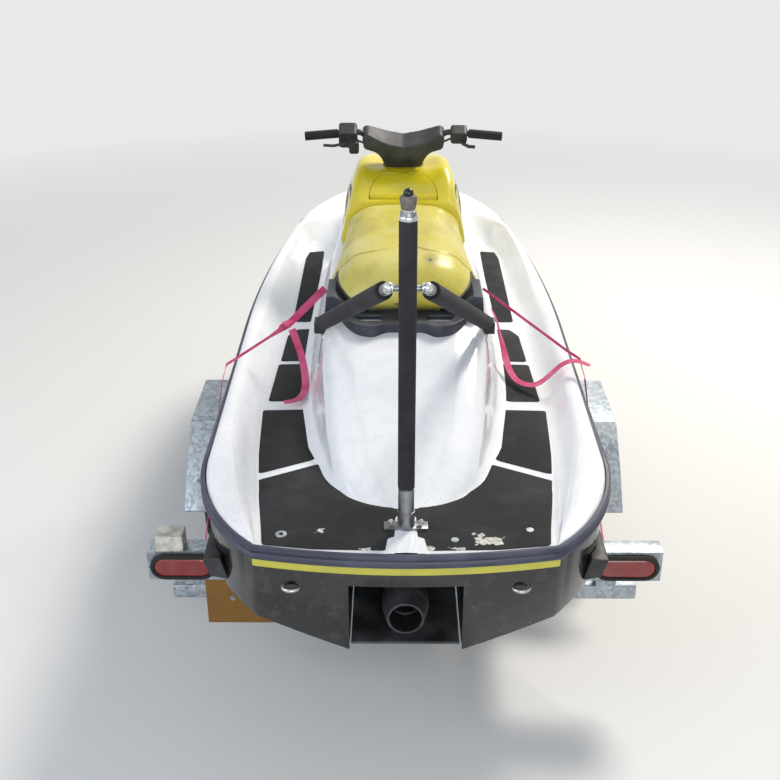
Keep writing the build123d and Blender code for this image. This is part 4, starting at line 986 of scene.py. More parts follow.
# %% The welt round the foot of the cover
WELT_R = 0.0045
welt_path = []
for y, _ in stations[3:-2:2]:
    foot = column(SEAT, 1, y) + 0.003, column(SEAT, 2, y) + 0.006
    if y < CHEEK_END:
        run = Vector((1, 0, (CHEEK_HIGH[1] - CHEEK_LOW[1]) / (CHEEK_HIGH[0] - CHEEK_LOW[0]))).normalized()
        start = Vector(world((0.1, max(y, 0.93), cheek_z(0.109, y) + 0.001))) + run * 0.4
        hit = cover_tree.ray_cast(start, -run, 0.4)[0]
        foot = (hit.x + 0.001, hit.z - KEEL) if hit else foot
    welt_path.append((foot[0], y, foot[1]))
ring = [(-x, y, z) for x, y, z in reversed(welt_path)] + [(0, 0.9105, 0.686)] + welt_path
welt_line = line_object("welt_line", [world(p) for p in ring])
welt_rule = cord_rule("welt", black_welt, WELT_R)
welt = grown("seat_welt", welt_line, welt_rule, {"Radius": WELT_R}, "seat")
print("seam points:", len(seam), "welt:", len(welt.data.polygons), "faces")

# %% [markdown]
# ## Console, lid and hood
# The yellow cowl is one smooth moulding with a lid let into it. It is skinned from sections with wide round
# shoulders, and the lid is cut out of the same form, so both surfaces run through the gap without a step.

# %% Gloss yellow, and the solids of the cowl
# y, foot x, outer x, outer z, shoulder x, shoulder z, valley x, valley z, middle z
CONSOLE = [
    (1.661, 0.236, 0.217, 0.735, 0.190, 0.786, 0.124, 0.798, 0.801),
    (1.720, 0.237, 0.219, 0.752, 0.184, 0.838, 0.112, 0.833, 0.834),
    (1.790, 0.238, 0.221, 0.770, 0.176, 0.889, 0.098, 0.866, 0.867),
    (1.900, 0.236, 0.217, 0.780, 0.166, 0.915, 0.080, 0.882, 0.882),
    (2.020, 0.231, 0.208, 0.760, 0.154, 0.893, 0.070, 0.890, 0.891),
]
HOOD = [
    (2.026, 0.231, 0.207, 0.758, 0.153, 0.891, 0.070, 0.889, 0.890),
    (2.200, 0.220, 0.196, 0.712, 0.140, 0.822, 0.066, 0.834, 0.838),
    (2.450, 0.185, 0.162, 0.650, 0.114, 0.724, 0.054, 0.738, 0.741),
    (2.640, 0.135, 0.118, 0.602, 0.082, 0.644, 0.040, 0.655, 0.657),
    (2.758, 0.078, 0.066, 0.573, 0.046, 0.590, 0.024, 0.594, 0.595),
]
COWL_CUTS = [0.030, 0.062, 0.050]


def parting_z(y):
    """Height of the line where cowl and deck meet."""
    return 0.640 + (y - SEAT_FRONT) * (0.552 - 0.640) / (2.800 - SEAT_FRONT)


def cowl_half(table, y, wall, low):
    measures = [column(table, k, y) for k in range(1, 9)]
    foot, outer_x, outer_z, shoulder_x, shoulder_z, valley_x, valley_z, middle = measures
    low = parting_z(y) + 0.001 if low is None else low
    corners = [(foot - wall, low), (outer_x - wall, outer_z - wall / 2), (shoulder_x - wall, shoulder_z - wall),
               (valley_x, valley_z - wall), (0, middle - wall)]
    return rounded(corners, COWL_CUTS, arc=10, run=4)


def cowl_solid(name, table, first, last, count, wall=0.0, low=None):
    """The cowl between two y, drawn in by a wall where it is the hollow, down to low or to the parting line."""
    rows = []
    for k in range(count + 1):
        y = first + (last - first) * k / count
        half = cowl_half(table, y, wall, low)
        rows.append([(x, y, z) for x, z in closed_half([(0, half[0][1])] + half)])
    return solid(name, rows, smooth=True)


def prism(name, outline, low, high, tilt=0.0, about_y=0.0):
    """An upright prism over a plan outline, its ends at two heights that rise with y where it tilts."""
    rise = math.tan(tilt)
    return solid(name, [[(x, y, z + (y - about_y) * rise) for x, y in outline] for z in (low, high)])


def edged(obj, width, angle=38, segments=3):
    """Breaks the sharp edges of a finished solid, and shades it smooth between them."""
    bm = bmesh.new()
    bm.from_mesh(obj.data)
    bmesh.ops.remove_doubles(bm, verts=bm.verts, dist=2e-5)
    bmesh.ops.dissolve_degenerate(bm, dist=2e-5, edges=bm.edges)
    bm.to_mesh(obj.data)
    bm.free()
    round_edge = obj.modifiers.new("edges", "BEVEL")
    round_edge.width = width
    round_edge.segments = segments
    round_edge.limit_method = "ANGLE"
    round_edge.angle_limit = math.radians(angle)
    round_edge.use_clamp_overlap = True
    settled(obj).data.shade_smooth()
    obj.data.set_sharp_from_angle(angle=math.radians(angle))
    return obj


def dressed(obj, body, slot, material, *nodes):
    """Gives a finished piece its material, its body, and the CAD nodes that it stands for. The slot is not used."""
    obj.data.materials.clear()
    obj.data.materials.append(material)
    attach(obj, body)
    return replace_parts(obj, *nodes) if nodes else obj


cowl_gloss = moulded("gloss yellow gelcoat", "#E3D21F", "#CFC03A", 0.22, 9.0, 0.05, Coat_Weight=0.5, Coat_Roughness=0.1)
# Starboard half of the lid's outline: x and y
BELL = [(0.127, 1.690), (0.121, 1.722), (0.108, 1.752), (0.090, 1.777), (0.073, 1.789), (0.040, 1.796), (0.0, 1.799)]


def bell(grow):
    """The lid's outline from above, wider all round by grow."""
    half = []
    for i, (x, y) in enumerate(BELL):
        along = 1 if i > 2 else -1 if i == 0 else 0
        half.append((max(x + (grow if x else 0), 0), y + grow * along))
    return half + [(-x, y) for x, y in reversed(half[:-1])]


LEAN = math.radians(28)
STEER_FOOT = (0.0, 1.865, 0.914)


def on_column(x, y, z):
    """From the steering's own upright frame to the craft."""
    return (x, STEER_FOOT[1] + y * math.cos(LEAN) - z * math.sin(LEAN),
            STEER_FOOT[2] + y * math.sin(LEAN) + z * math.cos(LEAN))


CONSOLE_ENDS, HOOD_ENDS = (1.661, 2.020), (2.026, 2.758)
# The lid's rear edge, a height above the whole cowl, and the radius of the room for the pad's neck
LID_Y, ABOVE, NECK_R = 1.69, 1.2, 0.080
console = cowl_solid("console_moulding", CONSOLE, *CONSOLE_ENDS, 30)
lid_way = prism("lid_way", bell(0.003), 0.790, ABOVE, math.radians(30), LID_Y)
glove_room = prism("glove_room", bell(-0.012), 0.700, ABOVE, math.radians(20), LID_Y)
# The lid's rear edge needs a ledge to swing over, and the pad's neck a round seat to turn in.
ledge = prism("lid_ledge", [(-0.131, 1.650), (0.131, 1.650), (0.131, 1.692), (-0.131, 1.692)], 0.799, ABOVE)
rings = [[on_column(NECK_R * math.cos(a), NECK_R * math.sin(a), z) for a in angles_round(48)] for z in (-0.036, 0.2)]
console = edged(combined(console, [lid_way, glove_room, ledge, solid("neck_seat", rings)]), 0.002)
dressed(console, "craft", "cowl_yellow", cowl_gloss, "console")
lid = cowl_solid("glovebox_lid_panel", CONSOLE, CONSOLE_ENDS[0], 1.900, 20, low=0.66)
lid_keep = prism("lid_keep", bell(0.0), 0.794, ABOVE, math.radians(30), LID_Y)
lid = edged(combined(lid, [lid_keep], "INTERSECT"), 0.0015)
dressed(lid, "glovebox_lid", "cowl_yellow", cowl_gloss, "glovebox_lid")
hood = cowl_solid("hood_moulding", HOOD, *HOOD_ENDS, 40)
hollow = cowl_solid("hood_hollow", HOOD, 2.038, 2.740, 30, wall=0.012, low=0.40)
hood = edged(combined(hood, [hollow]), 0.002)
dressed(hood, "hood", "cowl_yellow", cowl_gloss, "hood")
for piece in (console, lid, hood):
    print(piece.name, len(piece.data.polygons), "faces")

# %% [markdown]
# ## Pieces that keep their solid's shape
# Welded steel, turned rods and machined blocks are plain shapes, and the solids already have them. What a solid lacks
# is the small radius on every edge that catches the light. So each is copied, its triangles are merged back into
# whole faces, and its edges are broken. Cast and moulded pieces have no sharp edge at all, so they go through an even
# grid and are smoothed.

# %% Copies of solids, with broken edges or smoothed all over


def from_solids(name, *nodes):
    """A merged copy of CAD solids, with whole faces in place of their triangles."""
    bm = bmesh.new()
    for node in nodes:
        bm.from_mesh(frame["nodes"][node].data)
    bmesh.ops.remove_doubles(bm, verts=bm.verts, dist=2e-5)
    bmesh.ops.dissolve_limit(bm, angle_limit=math.radians(0.6), verts=bm.verts, edges=bm.edges)
    mesh = bpy.data.meshes.new(name)
    bm.to_mesh(mesh)
    bm.free()
    return linked(name, mesh)


def smoothed(obj, voxel, rounds):
    """An even grid over the solid, with every edge and corner worn round."""
    obj = remeshed(obj, voxel)
    bm = bmesh.new()
    bm.from_mesh(obj.data)
    for _ in range(rounds):
        bmesh.ops.smooth_vert(bm, verts=bm.verts, factor=0.5, use_axis_x=True, use_axis_y=True, use_axis_z=True)
    bm.to_mesh(obj.data)
    bm.free()
    obj.data.shade_smooth()
    return obj


# %% [markdown]
# ## Finishes of the metal, rubber and plastic
# Hot-dip galvanised steel shows crystals of zinc a few millimetres across under a grey film. The rubbers and plastics
# share one recipe, and differ in colour, gloss and the size of their grain. Bright metals get fine scratches.

# %% Zinc, bright metal and lenses


def zinc_spangle(name, bright, film_colour):
    mat, tree, shader, place = start_finish(name, 0.42, Metallic=0.7)
    crystals = add(tree, "ShaderNodeTexVoronoi", {"Vector": place, "Scale": 1000 / 11}).outputs["Color"]
    film = spread(tree, noise(tree, place, 180, 6), 0.40, 0.70)
    streak = spread(tree, noise(tree, place, 34, 6, (1.0, 1.0, 0.3)), 0.56, 0.76)
    colour = mixed(tree, spread(tree, crystals, 0.25, 0.75), "#87919A", bright)
    colour = tinted(tree, colour, film, 0.6, film_colour)
    colour = tinted(tree, colour, streak, 0.4, "#77736A")
    painted(tree, shader, colour, spread(tree, film, 0, 1, 0.36, 0.62))
    relief(tree, shader, noise(tree, place, 6, 3), 0.06)
    return mat


def bright_metal(name, base, worn, rough, stretch, size_mm=4.0):
    mat, tree, shader, place = start_finish(name, rough, Metallic=1.0)
    scratches = noise(tree, place, size_mm, 3, stretch)
    dulled = spread(tree, noise(tree, place, 60, 5), 0.45, 0.75)
    rough = spread(tree, scratches, 0.3, 0.7, rough * 0.8, rough * 1.4 + 0.04)
    painted(tree, shader, mixed(tree, dulled, base, worn), rough)
    relief(tree, shader, scratches, 0.02)
    return mat


def lens(name, deep, glint_red, pitch_mm):
    """Injection moulded acrylic, clear gloss outside; prisms inside show as a net of painted highlight and shade."""
    mat, tree, shader, place = start_finish(name, 0.12, Coat_Weight=0.8, Coat_Roughness=0.05)
    net = {"Vector": place, "Scale": 1000 / pitch_mm, "Randomness": 0.0}
    prisms = add(tree, "ShaderNodeTexVoronoi", net).outputs["Distance"]
    haze = spread(tree, noise(tree, place, 50, 5), 0.45, 0.75)
    # Lighter red at each prism's middle is a painted highlight, and darker red towards its edges is painted shade.
    colour = mixed(tree, spread(tree, prisms, 0.1, 0.7), glint_red, deep)
    painted(tree, shader, tinted(tree, colour, haze, 0.3, "#8C7A70"))
    relief(tree, shader, prisms, 0.3)
    return mat


zinc = zinc_spangle("hot-dip galvanised steel", "#B4BDC6", "#AEB4B8")
stainless = bright_metal("turned stainless steel", "#B9B8B4", "#8E8C86", 0.24, (1.0, 0.1, 1.0))
chrome = bright_metal("chrome plated steel", "#D8DADC", "#A9ABAD", 0.08, (1.0, 1.0, 1.0))
anodised = bright_metal("anodised aluminium tube", "#8E9093", "#6C6E71", 0.34, (1.0, 1.0, 0.06), 3.0)
red_lens = lens("moulded red acrylic", "#5E0D0B", "#B3231B", 5.0)

# %% Rubbers, plastics and paints
grab_plastic = moulded("injection moulded slate plastic", "#2B2E38", "#5A5F6C", 0.46, 2.2, 0.10, cloud_mm=70)
black_plastic = moulded("textured black ABS", "#1C1D20", "#4A4C50", 0.5, 1.8, 0.12, cloud_mm=60)
pad_plastic = moulded("faded black polyurethane skin", "#2A2B2E", "#5C5D60", 0.55, 1.6, 0.15, cloud_mm=80)
grip_rubber = moulded("moulded black rubber", "#141414", "#3B3A38", 0.75, 1.5, 0.1)
foam_rubber = moulded("closed-cell nitrile foam sleeve", "#15161A", "#3C3E45", 0.85, 1.6, 0.3, wear=0.7, cloud_mm=110)
satin_black = moulded("powder coated steel, satin black", "#151515", "#403E3B", 0.38, 2.0, 0.03)
pump_paint = moulded("cast aluminium, sprayed black", "#26282B", "#6E7175", 0.42, 2.6, 0.25, Metallic=0.2)
engine_paint = moulded("cast iron, sprayed grey", "#3B3E42", "#6A5E50", 0.5, 2.4, 0.3, Metallic=0.2)
tyre_rubber = moulded("vulcanised tyre rubber", "#191919", "#4B4843", 0.78, 1.8, 0.18, wear=0.7, cloud_mm=70)
wheel_paint = moulded("silver enamel on pressed steel", "#AEB1B3", "#8A857B", 0.36, 5.0, 0.05, Metallic=0.5)
needled_carpet = moulded("needled carpet on timber", "#1F2024", "#3E3F43", 0.95, 1.4, 1.2, wear=0.8, cloud_mm=45,
                         Sheen_Weight=0.3)
# The number plate is yellow; its dark ochre colour is painted shade for the shadow it hangs in under the stern.
shaded_yellow_plate = moulded("stove enamelled plate, dark ochre", "#7F5817", "#6B4D1E", 0.4, 5.0, 0.05, wear=0.8, cloud_mm=60)
dark_gelcoat = gelcoat("near-black gelcoat, hand laid glass fibre", "#101113", "#1C1E21", "#4A4842", 0.45)
soiled_acrylic = moulded("white acrylic housing, soiled", "#D9D8D0", "#9C9786", 0.4, 3.0, 0.05, wear=0.9, cloud_mm=26)
print("finishes:", len(bpy.data.materials))

# %% [markdown]
# The next table is most of the trailer and the craft's plain fittings. Each row names a piece, the solids it stands
# for, the body it rides on, its slot, its finish and the width of its broken edges in millimetres.

# %% Fabricated pieces
FABRICATED = [
    ("stern_stripe_tape", "stern_stripe", "craft", "stripe_yellow", yellow_paint, 0.2),
    ("steering_stem_tube", "steering_stem", "steering", "steel_bright", stainless, 0.6),
    ("handlebar_tube", "handlebar", "steering", "bar_steel", satin_black, 0.8),
    ("ride_plate_casting", "ride_plate", "craft", "pump_alloy", pump_paint, 2.0),
    ("intake_grate_bars", "intake_grate", "craft", "pump_alloy", pump_paint, 1.5),
    ("sponson_blades", "sponsons", "craft", "black_plastic", black_plastic, 4.0),
    ("impeller_blades", "impeller", "impeller", "steel_bright", stainless, 0.8),
    ("bow_and_stern_eyes", "towing_eyes", "craft", "steel_bright", stainless, 0.3),
    ("pole_tube", "tow_pole", "craft", "pole_alloy", anodised, 1.2),
    ("brace_tubes", "brace_arms", "craft", "pole_alloy", anodised, 0.8),
    ("side_rails", "trailer_frame", "craft", "galvanised", zinc, 4.0),
    ("drawbar_legs", "drawbar", "craft", "galvanised", zinc, 4.0),
    ("drawbar_ties", "drawbar_plates", "craft", "galvanised", zinc, 1.5),
    ("bunk_planks", "bunks", "craft", "bunk_carpet", needled_carpet, 8.0),
    ("bunk_posts", "bunk_brackets", "craft", "galvanised", zinc, 1.5),
    ("axle_beam", "axle", "craft", "galvanised", zinc, 3.0),
    ("spring_leaves", "leaf_springs", "craft", "galvanised", zinc, 0.8),
    ("rim_port", "rim_left", "wheel_left", "wheel_steel", wheel_paint, 1.2),
    ("rim_starboard", "rim_right", "wheel_right", "wheel_steel", wheel_paint, 1.2),
    ("fender_pressings", "fenders", "craft", "galvanised", zinc, 1.2),
    ("winch_stand", "winch_post", "craft", "galvanised", zinc, 1.5),
    ("winch_drum", "winch", "craft", "galvanised", zinc, 1.5),
    ("winch_webbing", "winch_strap", "craft", "strap_pink", pink_webbing, 0.3),
    ("jack_tube", "jack", "craft", "galvanised", zinc, 1.5),
    ("jack_inner_tube", "jack_leg", "jack_leg", "galvanised", zinc, 0.8),
    ("jockey_yoke", "jockey_fork", "jockey_fork", "galvanised", zinc, 1.2),
    ("lamp_channels", "lamp_brackets", "craft", "galvanised", zinc, 0.8),
    ("plate_sheet", "number_plate", "craft", "plate_yellow", shaded_yellow_plate, 0.4),
    ("engine_mass", "engine_block", "craft", "engine_iron", engine_paint, 12.0),
]
for name, node, body, slot, material, width in FABRICATED:
    dressed(edged(from_solids(name, node), width / 1000, 32, 2), body, slot, material, node)
print("fabricated:", len(FABRICATED), "pieces")

# %% The hull keeps its outer skin, and is cut away under the deck to make room for the footwells
rows = []
for y, _, crown in WELL[1:12]:
    low, half = deck_level(y) - 0.016, crown + 0.010
    rows.append([(-half, y, low), (half, y, low), (half, y, 0.9), (-half, y, 0.9)])
hull = edged(from_solids("hull_moulding", "hull"), 0.002, 32, 2)
hull = combined(hull, [solid("well_room", rows)])
dressed(hull, "craft", "hull_paint", dark_gelcoat, "hull")
print("hull:", len(hull.data.polygons), "faces")

# %% [markdown]
# Cast and moulded pieces come next. Each row names a piece, the solids it stands for, its body, slot and finish, the
# size of its grid in millimetres, and how often it is smoothed.

# %% Cast and moulded pieces
CAST = [
    ("pump_casting", "jet_pump", "craft", "pump_alloy", pump_paint, 4.5, 2),
    ("nozzle_casting", "steering_nozzle", "nozzle", "pump_alloy", pump_paint, 2.8, 2),
    ("coupler_casting", "coupler", "craft", "galvanised", zinc, 3.0, 3),
    ("jockey_tyre", "jockey_wheel", "jockey_wheel", "roller_rubber", grip_rubber, 2.6, 2),
    ("bow_stop", "bow_roller", "craft", "roller_rubber", grip_rubber, 2.0, 3),
    ("lamp_lenses", "tail_lamps", "craft", "lamp_red", red_lens, 2.8, 1),
    ("marker_housing", "marker_lamp", "craft", "lamp_white", soiled_acrylic, 2.0, 2),
    ("foam_sleeves", "tow_foam", "craft", "tow_foam", foam_rubber, 4.0, 2),
]
for name, node, body, slot, material, voxel, rounds in CAST:
    dressed(smoothed(from_solids(name, node), voxel / 1000, rounds), body, slot, material, node)
# The clamps end level with the grab handle's underside; what reaches lower is cut away.
below = prism("below_clamps", [(-0.4, 0.7), (0.4, 0.7), (0.4, 1.1), (-0.4, 1.1)], 0.4, 0.592)
clamps = smoothed(combined(from_solids("arm_clamps", "brace_clamps"), [below]), 0.0025, 3)
dressed(clamps, "craft", "black_plastic", black_plastic, "brace_clamps")

# %% [markdown]
# ## Deck mats
# The deck is covered with thin sheets of ribbed foam rubber, glued down. At the stern the mat is torn, and the glue
# and gelcoat show as ragged pale patches. Each patch is a soft-edged box in the material, its edge broken by noise,
# so the sheet itself stays whole.

# %% Foam rubber with torn patches
# x, y, half length across, half length along
TORN = [
    (0.000, 0.064, 0.012, 0.034),
    (0.028, 0.020, 0.042, 0.012),
    (0.216, 0.058, 0.036, 0.015),
    (0.190, 0.086, 0.020, 0.006),
    (-0.108, 0.022, 0.014, 0.003),
    (0.131, 0.024, 0.018, 0.003),
    (-0.229, 0.102, 0.008, 0.006),
]


def deck_rubber(name):
    mat, tree, shader, place = start_finish(name, 0.86)
    parts = add(tree, "ShaderNodeSeparateXYZ", {0: place})
    ragged = math_node(tree, "MULTIPLY", math_node(tree, "SUBTRACT", noise(tree, place, 14, 6), 0.5), 0.030)
    torn = None
    for x, y, half_x, half_y in TORN:
        beyond = []
        for axis, middle, half in ((0, x, half_x), (1, y - MID_Y, half_y)):
            off = math_node(tree, "ABSOLUTE", math_node(tree, "SUBTRACT", parts.outputs[axis], middle))
            beyond.append(math_node(tree, "SUBTRACT", off, half))
        out = math_node(tree, "ADD", math_node(tree, "MAXIMUM", *beyond), ragged)
        torn = out if torn is None else math_node(tree, "MINIMUM", torn, out)
    bare = spread(tree, torn, 0.0012, -0.0008)
    dust = spread(tree, noise(tree, place, 90, 6), 0.45, 0.75)
    pebble = noise(tree, place, 2.6, 2)
    glue = mixed(tree, spread(tree, noise(tree, place, 9, 5), 0.35, 0.65), "#E4E3DC", "#A9A69C")
    colour = mixed(tree, math_node(tree, "MULTIPLY", dust, 0.55), "#0E0F11", "#34363A")
    painted(tree, shader, mixed(tree, bare, colour, glue))
    relief(tree, shader, math_node(tree, "SUBTRACT", pebble, math_node(tree, "MULTIPLY", bare, 2.0)), 0.5)
    return mat


mat_rubber = deck_rubber("ribbed foam rubber, glued down")

# %% The sheets
MAT_T = 0.003
# Corners of the starboard mats, each of which has its twin to port
MATS = [
    [(0.426, 0.384), (0.449, 0.764), (0.308, 0.770), (0.251, 0.474)],
    [(0.438, 0.828), (0.430, 1.094), (0.335, 1.099), (0.318, 0.830)],
    [(0.426, 1.122), (0.420, 1.330), (0.392, 1.386), (0.340, 1.391), (0.340, 1.126)],
    [(0.412, 1.460), (0.414, 2.200), (0.340, 2.215), (0.334, 1.458)],
]
# Starboard half of the mat on the platform, and how far each corner is rounded
MAT_STERN = [(0.0, 0.016), (0.240, 0.0225), (0.374, 0.042), (0.384, 0.120), (0.420, 0.350), (0.250, 0.440),
             (0.205, 0.330), (0.160, 0.262), (0.090, 0.222), (0.0, 0.214)]
STERN_CUTS = [0.02, 0.012, 0.02, 0.012, 0.012, 0.03, 0.03, 0.03]


def rounded_ring(corners, cut):
    """A closed plan outline with every corner rounded."""
    middle = tuple((a + b) / 2 for a, b in zip(corners[0], corners[-1]))
    return rounded([middle] + corners + [middle], [cut] * len(corners), arc=5, run=1)[:-1]


def sheet_on_floor(name, outline):
    return solid(name, [[(x, y, floor_z(y) + lift) for x, y in outline] for lift in (0.0004, MAT_T)])


sheets = [sheet_on_floor("deck_mats", closed_half(rounded(MAT_STERN, STERN_CUTS, arc=5, run=2)))]
for corners in MATS:
    ring = rounded_ring(corners, 0.011)
    sheets += [sheet_on_floor("mat", ring), sheet_on_floor("mat", [(-x, y) for x, y in ring])]


def merged(name, pieces):
    """Several mesh objects as one."""
    bm = bmesh.new()
    for piece in pieces:
        bm.from_mesh(piece.data)
        bpy.data.objects.remove(piece)
    mesh = bpy.data.meshes.new(name)
    bm.to_mesh(mesh)
    bm.free()
    return linked(name, mesh)


mats = edged(merged("deck_mats", sheets), 0.0010, 50, 2)
dressed(mats, "craft", "mat_black", mat_rubber, "traction_mats")
print("mats:", len(mats.data.polygons), "faces")

# %% [markdown]
# ## Stern grab handle and seat cheeks
# One dark moulding wraps the pedestal behind the seat: a curved bar to pull oneself up by, with a hollow for the
# fingers on each side, and two wedge-shaped cheeks that fill the seat's cut-away corners. It is cut from prisms and
# then smoothed, because a moulding has no sharp edge.

# %% The moulding
# Starboard half of the bar in plan, its two heights, the hollow in plan, and the cheek's section
HAND_PLAN = [(0.0, 0.836), (0.062, 0.836), (0.096, 0.812), (0.150, 0.822), (0.194, 0.880), (0.214, 0.948),
             (0.0, 0.946)]
HAND_CUTS = [0.018, 0.016, 0.026, 0.030, 0.006]
HAND_Z = (0.594, 0.650)
HOLLOW = [(0.070, 0.860), (0.144, 0.860), (0.158, 0.906), (0.070, 0.906)]
CHEEK = [(0.116, 0.630), (0.116, 0.6405), (0.222, 0.7040), (0.250, 0.7030), (0.257, 0.630)]
CHEEK_Y = (0.926, 1.092)

handle = prism("stern_grab_handle", closed_half(rounded(HAND_PLAN, HAND_CUTS, arc=6, run=2)), *HAND_Z)
hollows, cheeks = [], []
for side in (-1, 1):
    hollows.append(prism("hollow", [(side * x, y) for x, y in rounded_ring(HOLLOW, 0.014)], 0.560, 0.700))
    cheeks.append(solid("cheek", [[(side * x, y, z) for x, z in CHEEK] for y in CHEEK_Y]))
handle = smoothed(combined(combined(handle, hollows), cheeks, "UNION"), 0.003, 2)
dressed(handle, "craft", "grab_plastic", grab_plastic, "rear_grab_handle")
print("grab handle:", len(handle.data.polygons), "faces")

# %% [markdown]
# ## Handlebar pad, switches and grips
# The pad is a soft moulding over the clamps, like a pair of horns with a dip between them and a short neck. Its front
# outline and its side outline are both simple. The shape is what the two share, smoothed. Everything here turns about
# the steering axis, so it is drawn upright and then leaned back with the axis.

# %% The steering axis, and the pad
def leaned(name, outline, low, high, along="y"):
    """A prism over an outline drawn in the steering's frame: seen along y, or seen along x."""
    rings = []
    for depth in (low, high):
        rings.append([on_column(a, depth, b) if along == "y" else on_column(depth, a, b) for a, b in outline])
    return solid(name, rings)


# Starboard half of the pad seen from the front, and its outline seen from the side
PAD_FRONT = [(0.0, -0.028), (0.056, -0.028), (0.074, -0.012), (0.080, 0.026), (0.100, 0.058), (0.150, 0.076),
             (0.156, 0.122), (0.138, 0.137), (0.066, 0.099), (0.0, 0.084)]
PAD_CUTS = [0.014, 0.014, 0.020, 0.020, 0.012, 0.012, 0.010, 0.030]
PAD_SIDE = [(-0.034, -0.028), (-0.045, 0.030), (-0.042, 0.100), (-0.026, 0.142), (0.026, 0.142), (0.042, 0.100),
            (0.042, 0.030), (0.030, -0.028)]
pad = leaned("handlebar_pad", closed_half(rounded(PAD_FRONT, PAD_CUTS, arc=6, run=2)), -0.07, 0.07)
pad_side = leaned("pad_side", rounded_ring(PAD_SIDE, 0.014), -0.2, 0.2, "x")
pad = smoothed(combined(pad, [pad_side], "INTERSECT"), 0.003, 6)
dressed(pad, "steering", "black_plastic", pad_plastic, "bar_pad")
print("pad:", len(pad.data.polygons), "faces")

# %% Switch housings, levers and cables
HOUSINGS = [  # x from, x to, y from, y to, z from, z to; the first two are one housing
    (-0.244, -0.174, -0.036, 0.026, 0.078, 0.148),
    (-0.206, -0.168, -0.050, -0.020, 0.058, 0.112),
    (0.178, 0.240, -0.028, 0.022, 0.090, 0.142),
]
boxes = []
for x0, x1, y0, y1, z0, z1 in HOUSINGS:
    ring = rounded_ring([(x0, z0), (x1, z0), (x1, z1), (x0, z1)], 0.012)
    boxes.append(leaned("housing", ring, y0, y1))
port_box = combined(boxes[0], [boxes[1]], "UNION")
housings = smoothed(merged("switch_housings", [port_box, boxes[2]]), 0.0022, 4)
dressed(housings, "steering", "black_plastic", black_plastic, "bar_controls")
LEVERS = [  # name, radius, route
    ("start_lever", 0.0055,
     [(-0.205, -0.030, 0.112), (-0.225, -0.052, 0.112), (-0.262, -0.064, 0.113), (-0.300, -0.062, 0.114)]),
    ("throttle_lever", 0.0065,
     [(0.212, -0.018, 0.104), (0.226, -0.036, 0.098), (0.246, -0.046, 0.094), (0.270, -0.046, 0.092)]),
    ("port_cable", 0.0040,
     [(-0.200, 0.012, 0.096), (-0.176, 0.022, 0.064), (-0.140, 0.020, 0.048), (-0.100, 0.006, 0.050)]),
    ("starboard_cable", 0.0040,
     [(0.204, 0.012, 0.102), (0.178, 0.024, 0.070), (0.140, 0.022, 0.050), (0.100, 0.006, 0.050)]),
]
tube_rule = cord_rule("round_bar", black_plastic, 0.005)
for name, radius, route in LEVERS:
    lever_line = line_object(name, [world(on_column(*point)) for point in route])
    grown(name, lever_line, tube_rule, {"Radius": radius, "Sides": 14}, "steering")
print("levers and cables:", [row[0] for row in LEVERS])

# %% Ribs on the grips
RIB_R = 0.0172
rib_rule = pin_rule("grip_ribs", grip_rubber, RIB_R, 0.0030, 0.0056, 24)
for side, name in ((-1, "grip_ribs_port"), (1, "grip_ribs_starboard")):
    ends = [(side * 0.368, -0.0160, 0.1180), (side * 0.252, -0.0065, 0.1228)]
    grip_line = line_object("grip_line", [world(on_column(*end)) for end in ends])
    grown(name, grip_line, rib_rule, {"Radius": RIB_R}, "steering", 30)
core = edged(from_solids("grip_sleeves", "grips"), 0.0012, 32, 2)
dressed(core, "steering", "grip_rubber", grip_rubber, "grips")

# %% [markdown]
# ## Tow pole's head
# The rope drops over a cup-shaped knob, between a chrome collar and a black ball. Turned pieces are rings about one
# axis, so each is skinned from its profile of radius and height.

# %% Turned pieces about the pole's axis
POLE_Y = 0.120
cast_alloy = moulded("sand cast aluminium, weathered", "#77716A", "#4E4B47", 0.55, 2.0, 0.25, wear=0.7, cloud_mm=12,
                     Metallic=0.4)
black_ball = moulded("turned black acetal", "#101010", "#2A2A2A", 0.22, 4.0, 0.03)


def turned(name, profile):
    """A solid of rings about the pole's axis, through (radius, height) points."""
    obj = solid(name, [[(radius * math.cos(a), POLE_Y + radius * math.sin(a), z) for a in angles_round(40)]
                       for radius, z in profile], smooth=True)
    obj.data.set_sharp_from_angle(angle=math.radians(38))
    return obj


def arc_profile(radius, centre, first, last, count=10):
    """(radius, height) points of a ball between two angles from level."""
    angles = [math.radians(first + (last - first) * k / count) for k in range(count + 1)]
    return [(max(radius * math.cos(a), 0.0004), centre + radius * math.sin(a)) for a in angles]


collar = turned("pole_collar", [(0.0150, 1.2000), (0.0222, 1.2105), (0.0228, 1.2120), (0.0228, 1.2180),
                                (0.0215, 1.2200), (0.0158, 1.2205), (0.0150, 1.2230), (0.0150, 1.2380)])
dressed(collar, "craft", "steel_bright", chrome)
knob = turned("pole_knob", [(0.0146, 1.2340), (0.0166, 1.2360), (0.0178, 1.2420), (0.0196, 1.2500), (0.0205, 1.2580),
                            (0.0200, 1.2630), (0.0178, 1.2665), (0.0120, 1.2685), (0.0080, 1.2690)])
dressed(knob, "craft", "pole_alloy", cast_alloy, "tow_knob")
ball = turned("pole_ball", arc_profile(0.0122, 1.2718, -60, 88))
dressed(ball, "craft", "pole_alloy", black_ball)
print("pole head:", [o.name for o in (collar, knob, ball)])

# %% [markdown]
# ## Bolts, nuts and rivets
# Every fastener is the same rule: a washer, a hexagon and a domed end, put at a point and turned to face along its
# own axis. The points of a small mesh carry that axis as an attribute, so one tree sets them all.

# %% The rule for a fastener


